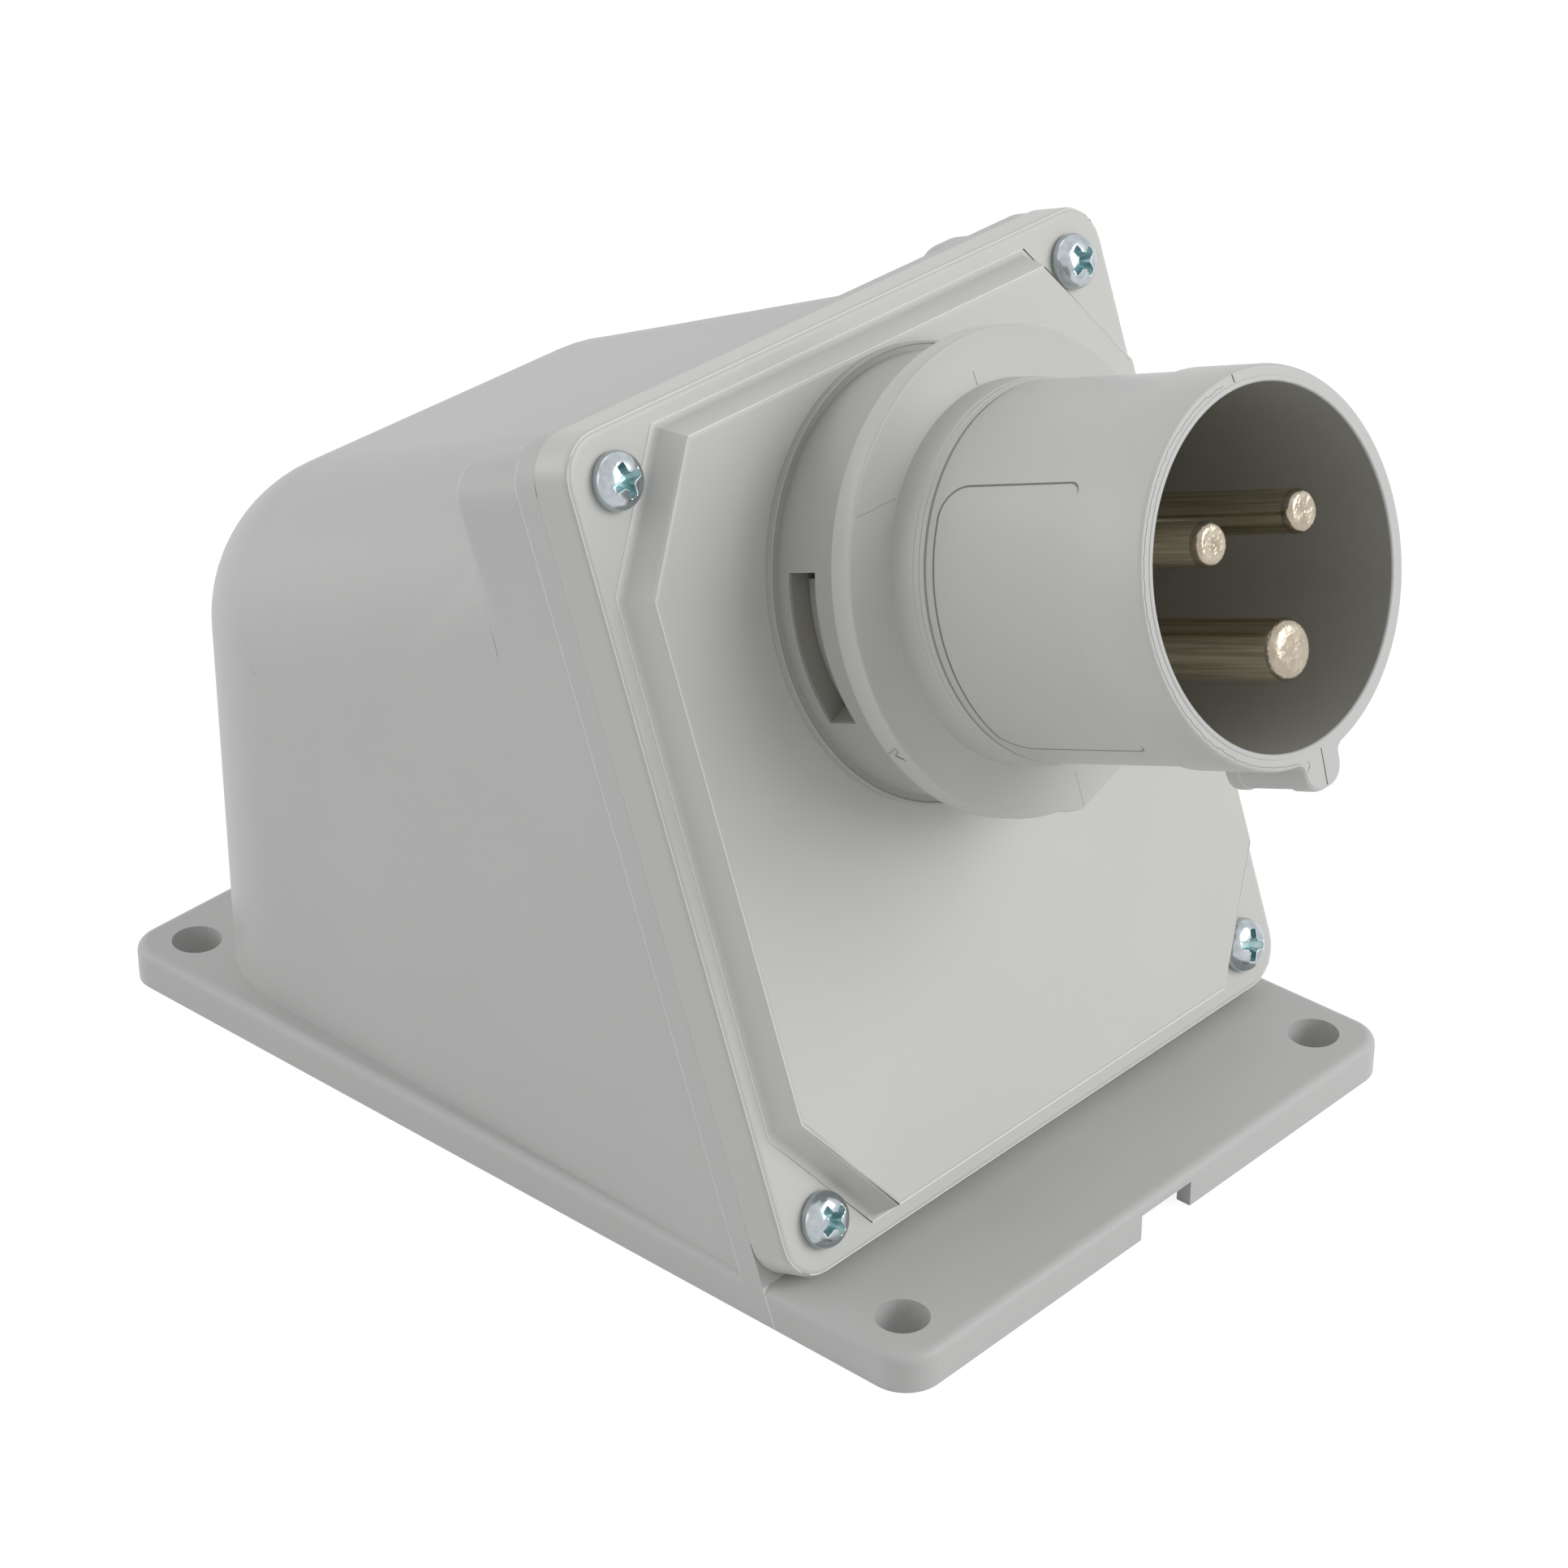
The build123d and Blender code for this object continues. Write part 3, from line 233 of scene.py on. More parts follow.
# Adds a shape to the base, or cuts it out, and keeps the result as the base's own mesh.
def combine(base, shape, operation, *paints):
    tool_mesh = bpy.data.meshes.new("tool")
    shape.to_mesh(tool_mesh)
    shape.free()
    for paint in paints:
        tool_mesh.materials.append(paint)
    tool = bpy.data.objects.new("tool", tool_mesh)
    bpy.context.collection.objects.link(tool)
    change = base.modifiers.new("change", "BOOLEAN")
    change.operation = operation
    change.solver = "EXACT"
    change.object = tool
    graph = bpy.context.evaluated_depsgraph_get()
    mesh = bpy.data.meshes.new_from_object(base.evaluated_get(graph))
    base.modifiers.clear()
    base.data = mesh
    bpy.data.objects.remove(tool)
    smooth(mesh)


# Points of an arc in a plane, from one angle to another in degrees.
def arc(centre, radius, start, end, steps):
    points = []
    for step in range(steps + 1):
        angle = math.radians(start + (end - start) * step / steps)
        points.append((centre[0] + radius * math.cos(angle), centre[1] + radius * math.sin(angle)))
    return points


# Place on a round face of the inlet: radius, angle from +X and station along the axis.
def on_round(radius, angle, station):
    return (radius * math.cos(math.radians(angle)), radius * math.sin(math.radians(angle)), station)


THREAD_SIDES = 6


# Thin raised thread along a run of points, such as the flash left by a mould.
def thread(shape, points, radius):
    path = [mathutils.Vector(point) for point in points]
    rows = []
    for place, point in enumerate(path):
        ahead = path[min(place + 1, len(path) - 1)] - path[max(place - 1, 0)]
        side = ahead.orthogonal().normalized()
        other = ahead.normalized().cross(side)
        ring = []
        for step in range(THREAD_SIDES):
            angle = 2 * math.pi * step / THREAD_SIDES
            out = math.cos(angle) * side + math.sin(angle) * other
            ring.append(shape.verts.new(point + radius * out))
        rows.append(ring)
    skin(shape, rows)


# Shared surface of moulded plastic: faint flow clouding, a satin roughness that wanders,
# and the fine texture of the mould.  It gives a mask, a roughness and a normal.
def make_moulded_group():
    group = bpy.data.node_groups.new("moulded_surface", "ShaderNodeTree")
    sockets = group.interface
    sockets.new_socket(name="Mean Roughness", in_out="INPUT", socket_type="NodeSocketFloat")
    sockets.new_socket(name="Texture", in_out="INPUT", socket_type="NodeSocketFloat")
    sockets.new_socket(name="Cloud", in_out="OUTPUT", socket_type="NodeSocketFloat")
    sockets.new_socket(name="Roughness", in_out="OUTPUT", socket_type="NodeSocketFloat")
    sockets.new_socket(name="Normal", in_out="OUTPUT", socket_type="NodeSocketVector")
    ends = group.nodes.new("NodeGroupInput")
    out = group.nodes.new("NodeGroupOutput")
    coords = group.nodes.new("ShaderNodeTexCoord")
    links = group.links
    cloud = group.nodes.new("ShaderNodeTexNoise")
    cloud.inputs["Scale"].default_value = 38.0
    cloud.inputs["Detail"].default_value = 3.0
    links.new(coords.outputs["Object"], cloud.inputs["Vector"])
    links.new(cloud.outputs["Fac"], out.inputs["Cloud"])
    wander = group.nodes.new("ShaderNodeMapRange")
    wander.inputs["From Min"].default_value = 0.3
    wander.inputs["From Max"].default_value = 0.7
    wander.inputs["To Min"].default_value = -0.03
    wander.inputs["To Max"].default_value = 0.03
    links.new(cloud.outputs["Fac"], wander.inputs["Value"])
    roughness = maths(group, "ADD", wander.outputs["Result"], ends.outputs["Mean Roughness"])
    links.new(roughness, out.inputs["Roughness"])
    grain = group.nodes.new("ShaderNodeTexNoise")
    grain.inputs["Scale"].default_value = 2600.0
    grain.inputs["Detail"].default_value = 2.0
    links.new(coords.outputs["Object"], grain.inputs["Vector"])
    swell = group.nodes.new("ShaderNodeTexNoise")
    swell.inputs["Scale"].default_value = 90.0
    swell.inputs["Detail"].default_value = 1.0
    links.new(coords.outputs["Object"], swell.inputs["Vector"])
    first = group.nodes.new("ShaderNodeBump")
    first.inputs["Distance"].default_value = 0.00003
    links.new(grain.outputs["Fac"], first.inputs["Height"])
    links.new(ends.outputs["Texture"], first.inputs["Strength"])
    second = group.nodes.new("ShaderNodeBump")
    second.inputs["Strength"].default_value = 0.25
    second.inputs["Distance"].default_value = 0.0004
    links.new(swell.outputs["Fac"], second.inputs["Height"])
    links.new(first.outputs["Normal"], second.inputs["Normal"])
    links.new(second.outputs["Normal"], out.inputs["Normal"])
    return group


# Place of a surface point in the inlet frame, in millimetres: across, up the cover,
# station along the axis, and radius from the axis.
def make_place_group():
    group = bpy.data.node_groups.new("inlet_place", "ShaderNodeTree")
    for name in ("Across", "Up", "Along", "Radius"):
        group.interface.new_socket(name=name, in_out="OUTPUT", socket_type="NodeSocketFloat")
    out = group.nodes.new("NodeGroupOutput")
    coords = group.nodes.new("ShaderNodeTexCoord")
    links = group.links
    measured = {}
    for name, axis, start in (("Across", ACROSS, 0.0), ("Up", UP_COVER, AXIS_U), ("Along", ALONG, 0.0)):
        along_axis = group.nodes.new("ShaderNodeVectorMath")
        along_axis.operation = "DOT_PRODUCT"
        along_axis.inputs[1].default_value = axis / MM ** 2
        links.new(coords.outputs["Object"], along_axis.inputs[0])
        measured[name] = maths(group, "SUBTRACT", along_axis.outputs["Value"], start)
        links.new(measured[name], out.inputs[name])
    flat = group.nodes.new("ShaderNodeCombineXYZ")
    links.new(measured["Across"], flat.inputs["X"])
    links.new(measured["Up"], flat.inputs["Y"])
    reach = group.nodes.new("ShaderNodeVectorMath")
    reach.operation = "LENGTH"
    links.new(flat.outputs["Vector"], reach.inputs[0])
    links.new(reach.outputs["Value"], out.inputs["Radius"])
    return group


moulded_group = make_moulded_group()
place_group = make_place_group()


# Adds the place group to a tree and gives its outputs.
def place_in(tree):
    node = tree.nodes.new("ShaderNodeGroup")
    node.node_tree = place_group
    return node.outputs


# Moulded plastic between two close tones.
def plastic(name, darker, lighter, roughness, texture, sheen=0.5):
    paint = bpy.data.materials.new(name)
    paint.use_nodes = True
    tree = paint.node_tree
    shader = tree.nodes["Principled BSDF"]
    shader.inputs["Specular IOR Level"].default_value = sheen
    group = tree.nodes.new("ShaderNodeGroup")
    group.name = "surface"
    group.node_tree = moulded_group
    group.inputs["Mean Roughness"].default_value = roughness
    group.inputs["Texture"].default_value = texture
    ramp = tree.nodes.new("ShaderNodeValToRGB")
    ramp.name = "tones"
    ramp.color_ramp.elements[0].position = 0.30
    ramp.color_ramp.elements[0].color = (*darker, 1.0)
    ramp.color_ramp.elements[1].position = 0.70
    ramp.color_ramp.elements[1].color = (*lighter, 1.0)
    tree.links.new(group.outputs["Cloud"], ramp.inputs["Fac"])
    tree.links.new(ramp.outputs["Color"], shader.inputs["Base Color"])
    tree.links.new(group.outputs["Roughness"], shader.inputs["Roughness"])
    tree.links.new(group.outputs["Normal"], shader.inputs["Normal"])
    return paint


# Mixes a second tone into a plastic, or multiplies it in, where the mask is one.
def second_tone(paint, mask, colour, way="MIX"):
    tree = paint.node_tree
    base = tree.nodes["Principled BSDF"].inputs["Base Color"]
    blend = tree.nodes.new("ShaderNodeMix")
    blend.data_type = "RGBA"
    blend.blend_type = way
    tree.links.new(mask, blend.inputs["Factor"])
    tree.links.new(base.links[0].from_socket, blend.inputs["A"])
    blend.inputs["B"].default_value = (*colour, 1.0)
    tree.links.new(blend.outputs["Result"], base)


# Gives all material slots of a solid one material.
def paint_node(name, paint):
    for place in nodes[name].material_slots:
        place.material = paint


# Measures that the pieces below share, in the frame of the inlet and in millimetres.
HALF_W = 46.0
BODY_HALF_W = 45.3
BODY_LENGTH = 61.2
BODY_NARROWING = 2.7
BODY_TOP_U = 87.7
BODY_TOP_DROP = 3.64
BODY_BEND_R = 20.4
BODY_BEND_GROWTH = 0.4
FRAME_BACK_AT = 40.6
FRAME_FACE_AT = 43.7
FLANGE_BACK_AT = 65.0
FLANGE_FACE_AT = 67.7
FLANGE_R = 28.0
RIM_FACE_AT = 104.5

# Housing: plate, body and front frame come out of one tool as a single moulding of light
# grey thermoplastic with a satin face.  Its parting line shows at the side of the plate.
housing_tones = ((0.574, 0.574, 0.568), (0.594, 0.594, 0.588))
housing_plastic = plastic("housing_plastic", *housing_tones, 0.45, 0.3, 0.35)
tree = housing_plastic.node_tree
place = place_in(tree)
from_parting = maths(tree, "ABSOLUTE", maths(tree, "SUBTRACT", place["Along"], FRAME_FACE_AT - 0.02))
on_parting = maths(tree, "LESS_THAN", from_parting, 0.09)
on_plate = maths(tree, "LESS_THAN", place["Up"], -70.4)
at_side = maths(tree, "GREATER_THAN", maths(tree, "ABSOLUTE", place["Across"]), HALF_W - 1.0)
parting = maths(tree, "MULTIPLY", maths(tree, "MULTIPLY", on_parting, on_plate), at_side)
second_tone(housing_plastic, parting, (0.78, 0.775, 0.755))
paint_node("housing", housing_plastic)

# Painted highlights on the front frame: a bright thread along the corner behind the frame on either side, and
# the fine seam between frame and cover, where a little flash has stayed, in the same pale painted-highlight
# tone.
frame_highlight_plastic = plastic("frame_highlight_plastic", (0.750, 0.750, 0.730), (0.785, 0.785, 0.765), 0.35, 0.1)
FRAME_CORNER = (40.6, 85.7)
EDGE_LINE_AT = FRAME_BACK_AT - 0.08
SEAM_AT = FRAME_FACE_AT + 0.07
frame_lines = bmesh.new()
for side in (-1.0, 1.0):
    edge = [(HALF_W - 0.14, -9.3)] + arc(FRAME_CORNER, 5.26, 0.0, 90.0, 8)
    seam = [(HALF_W - 0.105, -4.9), (HALF_W - 0.105, FRAME_CORNER[1])]
    thread(frame_lines, [(side * x, u - AXIS_U, EDGE_LINE_AT) for x, u in edge], 0.13)
    thread(frame_lines, [(side * x, u - AXIS_U, SEAM_AT) for x, u in seam], 0.1)
make_piece("frame_highlight_lines", frame_lines, INLET, frame_highlight_plastic)

# Skirts of the upper screw bosses: below each boss the same moulding runs on down to the
# flat of the side wall, and dies away towards the rear round of the body.
BOSS_SIDE = BODY_HALF_W + 0.01
BOSS_FOOT_U = 79.4
BOSS_REAR_AT = 28.0
BOSS_REAR_R = 1.8
SKIRT_END_AT = 9.0
SKIRT_TOP_U = 78.6
SKIRT_STATIONS = (
    40.9, 36.0, 31.0, 29.8, 29.3, 28.8, 28.4, 28.0,
    27.9, 26.0, 23.5, 21.0, 18.5, 16.0, 13.5, 11.5, 10.0,
)


# Section of a skirt across the axis: up its outer face, over its top, down inside the wall.
def boss_skirt_ring(station, side):
    back = min(max((FRAME_BACK_AT - station) / BODY_LENGTH, 0.0), 1.0)
    wall = BODY_HALF_W - BODY_NARROWING * back
    bend = BODY_BEND_R + BODY_BEND_GROWTH * back
    flat_top = BODY_TOP_U - BODY_TOP_DROP * back - bend
    low = flat_top - 2.0
    on_boss = station >= BOSS_REAR_AT
    if on_boss:
        from_round = max(BOSS_REAR_AT + BOSS_REAR_R - station, 0.0)
        rounding = BOSS_REAR_R - math.sqrt(max(BOSS_REAR_R ** 2 - from_round ** 2, 0.0))
        reach = max(BOSS_SIDE - wall - 0.31 * from_round ** 2, 0.02)
        inset = wall + reach - BOSS_SIDE + rounding
        high = BOSS_FOOT_U + 0.3 + rounding
        run = 0.2
    else:
        fade = max((station - SKIRT_END_AT) / (BOSS_REAR_AT - SKIRT_END_AT), 0.0)
        reach = 0.02 * fade
        inset = 0.0
        high = flat_top + (SKIRT_TOP_U - flat_top) * fade
        run = 0.95 * (high - flat_top) + 0.2

    # Outer face of the body at a level, where its side rounds over into the top.
    def bowed(level):
        return wall - bend + math.sqrt(bend * bend - max(level - flat_top, 0.0) ** 2)

    ring = []
    for step in range(7):
        part = step / 6
        out = 0.05 * math.sin(part * math.pi / 2) - 0.05
        out += reach * part ** 2 - inset * part ** 6
        ring.append((wall + out, low + (high - run - low) * part))
    for step in range(1, 7):
        part = step / 6
        level = high - run * (1.0 - part)
        held = 1.0 - 0.1 * part if on_boss else 1.0 - part * part * (3.0 - 2.0 * part)
        ring.append((bowed(level) + (wall + reach - inset - bowed(level)) * held, level))
    for step in range(6):
        level = high - (high - low) * step / 5
        ring.append((bowed(level) - 1.2, level))
    return [(side * x, u - AXIS_U, station) for x, u in ring]


for name, side in (("boss_skirt_near", -1.0), ("boss_skirt_far", 1.0)):
    skirt = swept([boss_skirt_ring(station, side) for station in SKIRT_STATIONS])
    make_piece(name, skirt, INLET, housing_plastic)

# Cover: moulded from another batch of the same plastic, a little warmer and lighter,
# and smoother on the show face.  Its sides carry painted shade: a darker tone, as grey as the housing.
cover_tones = ((0.645, 0.648, 0.618), (0.665, 0.668, 0.638))
cover_plastic = plastic("cover_plastic", *cover_tones, 0.36, 0.2)
tree = cover_plastic.node_tree
outwards = maths(tree, "SUBTRACT", maths(tree, "ABSOLUTE", place_in(tree)["Across"]), HALF_W - 0.7)
painted_side_shade = maths(tree, "MINIMUM", maths(tree, "MULTIPLY", outwards, 1.7), 1.0)
second_tone(cover_plastic, maths(tree, "MAXIMUM", painted_side_shade, 0.0), (0.590, 0.584, 0.566))
paint_node("cover", cover_plastic)

# Painted highlights on the cover: thin threads of a bright tone where the sharp corners catch the light,
# along the top and foot of the octagon and round the rim of the cover.
cover_highlight_plastic = plastic("cover_highlight_plastic", (0.850, 0.855, 0.830), (0.880, 0.885, 0.860), 0.30, 0.1)
RIM_LINE_AT = 48.98
COVER_CORNERS = ((40.6, 86.0, 0.0), (-40.6, 86.0, 90.0), (-40.6, -5.2, 180.0), (40.6, -5.2, 270.0))


# Closed run round an octagon: half its width, its top and foot, and how far the corners are
# cut off across and up.
def octagon_run(half, high, low, cut_x, cut_u, station):
    inner = half - cut_x
    corners = [(-inner, high), (inner, high), (half, high - cut_u), (half, low + cut_u)]
    corners += [(inner, low), (-inner, low), (-half, low + cut_u), (-half, high - cut_u), (-inner, high)]
    return [(x, u - AXIS_U, station) for x, u in corners]


octagon_top = octagon_run(half=41.76, high=87.06, low=-6.28, cut_x=11.0, cut_u=15.2, station=53.12)
octagon_foot = octagon_run(half=43.80, high=89.10, low=-8.32, cut_x=11.7, cut_u=15.9, station=49.27)
rim_run = []
for centre_x, centre_u, start in COVER_CORNERS:
    corner = arc((centre_x, centre_u), 5.15, start, start + 90.0, 6)
    rim_run += [(x, u - AXIS_U, RIM_LINE_AT) for x, u in corner]
rim_run.append(rim_run[0])
edge_lines = bmesh.new()
for run, radius in ((octagon_top, 0.1), (octagon_foot, 0.08), (rim_run, 0.075)):
    thread(edge_lines, run, radius)
make_piece("cover_highlight_lines", edge_lines, INLET, cover_highlight_plastic)

# Collar: a short moulded ring on the octagon that carries the flange.  The walls of its
# window lie in the shade of the ring and look darker than the outside.
COLLAR_INNER_R = 25.3
collar_plastic = plastic("collar_plastic", (0.480, 0.480, 0.468), (0.500, 0.500, 0.488), 0.40, 0.2)
tree = collar_plastic.node_tree
inside = maths(tree, "LESS_THAN", place_in(tree)["Radius"], COLLAR_INNER_R)
second_tone(collar_plastic, inside, (0.380, 0.372, 0.335))
paint_node("mounting_collar", collar_plastic)

# A fine bead runs round the foot of the collar, with a narrow gap between it and the wall.
bead = turned(arc((26.58, 53.98), 0.21, 0, 360, 10)[:-1], 160)
make_piece("collar_bead", bead, INLET, collar_plastic)

# Nut: the moulded ring inside the housing that draws flange and collar together.
nut_plastic = plastic("nut_plastic", (0.480, 0.480, 0.468), (0.500, 0.500, 0.488), 0.44, 0.3)
paint_node("inlet_nut", nut_plastic)

# Lock ring: the open ring seen through the window, moulded from the same plastic.
lock_plastic = plastic("lock_plastic", (0.480, 0.477, 0.455), (0.510, 0.507, 0.485), 0.45, 0.2)
paint_node("lock_ring", lock_plastic)

# Inlet moulding: flange, barrel, rim, key and spigot are one piece of light grey plastic.
# The profile is turned, the key is joined below it, and the floor closes the bore.
BORE_R = 20.05
BARREL_R = 21.6
shroud_tones = ((0.594, 0.596, 0.582), (0.614, 0.616, 0.602))
shroud_plastic = plastic("shroud_plastic", *shroud_tones, 0.38, 0.2)
tree = shroud_plastic.node_tree
place = place_in(tree)
# Painted shade in the bore: past its lip the bore is given a much darker tone, and a little less roughness.
in_bore = maths(tree, "LESS_THAN", place["Radius"], BORE_R + 0.07)
past_lip = maths(tree, "LESS_THAN", place["Along"], RIM_FACE_AT - 0.15)
inside = maths(tree, "MULTIPLY", in_bore, past_lip)
second_tone(shroud_plastic, inside, (0.350, 0.346, 0.314))
satin = tree.nodes["surface"].outputs["Roughness"]
polish = maths(tree, "SUBTRACT", satin, maths(tree, "MULTIPLY", inside, 0.20))
tree.links.new(polish, tree.nodes["Principled BSDF"].inputs["Roughness"])

# The near side of the barrel carries a plain panel framed by a fine groove: three sides
# and the first bend of the fourth.  The groove is a mask along that line, used for a bump and for painted
# shade that darkens the line.
PANEL_MIDDLE_AT = 84.1
PANEL_HALF_LENGTH = 9.9
PANEL_HALF_HEIGHT = 17.1
PANEL_BEND = 3.6
PANEL_BEND_LESS = 2.3
away = maths(tree, "MULTIPLY", place["Across"], -1.0)
turn = maths(tree, "ARCTAN2", place["Up"], away)
high = maths(tree, "MULTIPLY", maths(tree, "ABSOLUTE", turn), BARREL_R)
wide = maths(tree, "ABSOLUTE", maths(tree, "SUBTRACT", place["Along"], PANEL_MIDDLE_AT))
far_half = maths(tree, "GREATER_THAN", place["Along"], PANEL_MIDDLE_AT)
bend = maths(tree, "SUBTRACT", PANEL_BEND, maths(tree, "MULTIPLY", far_half, PANEL_BEND_LESS))
run_a = maths(tree, "ADD", maths(tree, "SUBTRACT", wide, PANEL_HALF_LENGTH), bend)
run_b = maths(tree, "ADD", maths(tree, "SUBTRACT", high, PANEL_HALF_HEIGHT), bend)
out_a = maths(tree, "MAXIMUM", run_a, 0.0)
out_b = maths(tree, "MAXIMUM", run_b, 0.0)
squares = maths(tree, "ADD", maths(tree, "MULTIPLY", out_a, out_a), maths(tree, "MULTIPLY", out_b, out_b))
span = maths(tree, "SQRT", squares)
depth_in = maths(tree, "MINIMUM", maths(tree, "MAXIMUM", run_a, run_b), 0.0)
off_line = maths(tree, "ABSOLUTE", maths(tree, "SUBTRACT", maths(tree, "ADD", span, depth_in), bend))
near_line = maths(tree, "SUBTRACT", 1.0, maths(tree, "MULTIPLY", off_line, 6.0))
line = maths(tree, "MAXIMUM", near_line, 0.0)
from_corner = maths(tree, "MULTIPLY", maths(tree, "SUBTRACT", 16.7, high), 0.9)
faded = maths(tree, "MINIMUM", maths(tree, "MAXIMUM", from_corner, 0.0), 1.0)
at_front = maths(tree, "GREATER_THAN", place["Along"], 88.0)
left_out = maths(tree, "MULTIPLY", faded, at_front)
on_barrel = maths(tree, "GREATER_THAN", place["Radius"], 21.0)
kept = maths(tree, "MULTIPLY", maths(tree, "SUBTRACT", 1.0, left_out), on_barrel)
groove = maths(tree, "MULTIPLY", line, kept)
# Painted shade along the groove: the base colour is multiplied darker on the line.
second_tone(shroud_plastic, groove, (0.22, 0.22, 0.20), "MULTIPLY")
cut = tree.nodes.new("ShaderNodeBump")
cut.invert = True
cut.inputs["Distance"].default_value = 0.15 * MM
tree.links.new(groove, cut.inputs["Height"])
tree.links.new(tree.nodes["surface"].outputs["Normal"], cut.inputs["Normal"])
tree.links.new(cut.outputs["Normal"], tree.nodes["Principled BSDF"].inputs["Normal"])

# A pale line is painted round the barrel where it steps up to the rim: a painted highlight on the edge of the
# step.
from_step = maths(tree, "ABSOLUTE", maths(tree, "SUBTRACT", place["Along"], 94.95))
step_line = maths(tree, "MAXIMUM", maths(tree, "SUBTRACT", 1.0, maths(tree, "MULTIPLY", from_step, 5.0)), 0.0)
step_highlight = maths(tree, "MULTIPLY", maths(tree, "MULTIPLY", step_line, on_barrel), 0.55)
second_tone(shroud_plastic, step_highlight, (0.76, 0.76, 0.75))

# Profile: up the bore and over the lip, the rim, the barrel with its stepped ring, the
# flange, and the spigot behind it.
profile = [(0.0, 63.7), (19.7, 63.7), (BORE_R, 64.05), (BORE_R, 104.4)]
profile += [(20.1, 104.52), (20.2, 104.6), (20.56, 104.62), (20.66, 104.58), (20.7, RIM_FACE_AT)]
profile += [(BARREL_R, RIM_FACE_AT), (21.75, 104.475), (21.86, 104.38), (21.93, 104.24), (21.97, 104.08)]
profile += [(22.0, 103.9), (22.0, 95.2), (21.94, 95.02), (21.66, 94.86), (BARREL_R, 94.7)]
profile += [(BARREL_R, 73.2), (21.56, 73.06), (21.2, 73.02), (21.2, 72.74), (21.57, 72.68), (21.62, 72.6)]
profile += [(21.63, 72.2), (21.66, 72.12), (21.77, 72.08), (21.80, 72.0), (21.81, 71.5), (21.84, 71.42)]
profile += [(21.94, 71.38), (21.97, 71.28), (21.97, 68.0), (22.03, 67.8), (22.25, FLANGE_FACE_AT)]
profile += [(27.6, FLANGE_FACE_AT)] + arc((27.74, 67.44), 0.26, 90, 0, 4)
profile += [(FLANGE_R, FLANGE_BACK_AT)] + arc((27.7, FLANGE_BACK_AT), 0.3, 0, -90, 2)
profile += [(22.1, 64.7), (22.1, 61.0), (20.9, 61.0), (20.9, 44.5), (18.8, 44.5), (18.8, 60.5), (0.0, 60.5)]
inlet_shroud = make_piece("shroud_moulding", turned(profile, 224), mathutils.Matrix(), shroud_plastic)


# Outline of the key below the barrel, grown outwards a little: straight sides, round
# lower corners, and a small fillet where it leaves the barrel.
def key_ring(station, grow):
    half = 3.2 + grow
    low = -25.5 - grow
    corner = arc((half - 2.4, low + 2.4), 2.4, 0, -90, 7)
    root = [(half - 0.6, -20.9), (half + 0.75, -21.55), (half + 0.32, -21.78), (half + 0.08, -22.15)]
    root.append((half, -22.6))
    right_side = root + corner
    left_side = [(-x, y) for x, y in reversed(right_side)]
    return [(x, y, station) for x, y in right_side + left_side]


key_steps = ((93.0, -0.25), (93.25, -0.03), (93.5, 0.0), (94.7, 0.0), (95.0, -0.16), (101.4, -0.16))
key_steps += ((101.6, 0.0), (103.95, 0.0), (104.3, -0.08), (RIM_FACE_AT, -0.3))
combine(inlet_shroud, swept([key_ring(station, grow) for station, grow in key_steps]), "UNION")

# Index point at the foot of the flange, a low corner on its edge.
tab = [(-4.3, -27.67), (-2.4, -28.42), (-0.9, -28.88), (-0.1, -28.98), (0.5, -28.86), (7.6, -26.95)]
tab += [(6.6, -24.0), (-3.6, -24.0)]
tab_steps = ((64.75, 0.15), (64.9, 0.0), (67.3, 0.0), (67.6, 0.1), (FLANGE_FACE_AT, 0.3))
tab_rings = [[(x, y + inset if y < -25.0 else y, at) for x, y in tab] for at, inset in tab_steps]
combine(inlet_shroud, swept(tab_rings), "UNION")
inlet_shroud.data.transform(INLET)
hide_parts("inlet_shroud")

# Marks of the mould on the inlet: thin threads of flash where its halves met, on the
# flange, the rim face and the key, and the line that the gate left.
flash_plastic = plastic("flash_plastic", (0.34, 0.34, 0.32), (0.42, 0.42, 0.40), 0.5, 0.2)
seam_shade = plastic("seam_shade", (0.10, 0.09, 0.07), (0.14, 0.12, 0.09), 0.6, 0.2)
flash = bmesh.new()
rim_turns = (
    (93.8, 21.03), (97.2, 21.18), (99.0, 21.02), (102.4, 21.22), (109.7, 21.23), (116.6, 21.20),
    (123.6, 21.42), (128.0, 21.31), (133.0, 21.38), (138.8, 21.36), (146.1, 21.40), (152.0, 21.40),
    (158.0, 21.47), (165.0, 21.44), (172.0, 21.52), (180.0, 21.40), (188.0, 21.46), (196.0, 21.36),
    (204.0, 21.45), (212.0, 21.38), (218.6, 21.49), (224.8, 21.38), (230.4, 21.48), (234.5, 21.50),
    (240.4, 21.50), (248.2, 21.45), (256.1, 21.50), (260.6, 21.45),
)
flash_run = []
for (start, inner), (end, outer) in zip(rim_turns, rim_turns[1:]):
    for step in range(6):
        angle = start + (end - start) * step / 6
        radius = inner + (outer - inner) * step / 6
        radius += 0.045 * math.sin(math.radians(angle * 67.0))
        radius += 0.035 * math.sin(math.radians(angle * 131.0 + 40.0))
        flash_run.append(on_round(radius, angle, RIM_FACE_AT))
thread(flash, flash_run, 0.05)
on_rim = ((-2.33, -21.47, 104.5), (-2.1, -21.9, 104.5), (-2.25, -22.2, 104.5), (-2.75, -22.6, 104.48))
thread(flash, on_rim, 0.05)
thread(flash, ((0.04, 23.9, 67.71), (0.12, 22.6, 67.71), (0.2, 22.1, 67.75)), 0.035)
thread(flash, ((0.0, -24.4, FLANGE_FACE_AT), (0.0, -28.7, FLANGE_FACE_AT)), 0.03)
on_flange = ((-23.2, 14.87), (-21.0, 14.7), (-19.2, 14.79), (-16.6, 14.7))
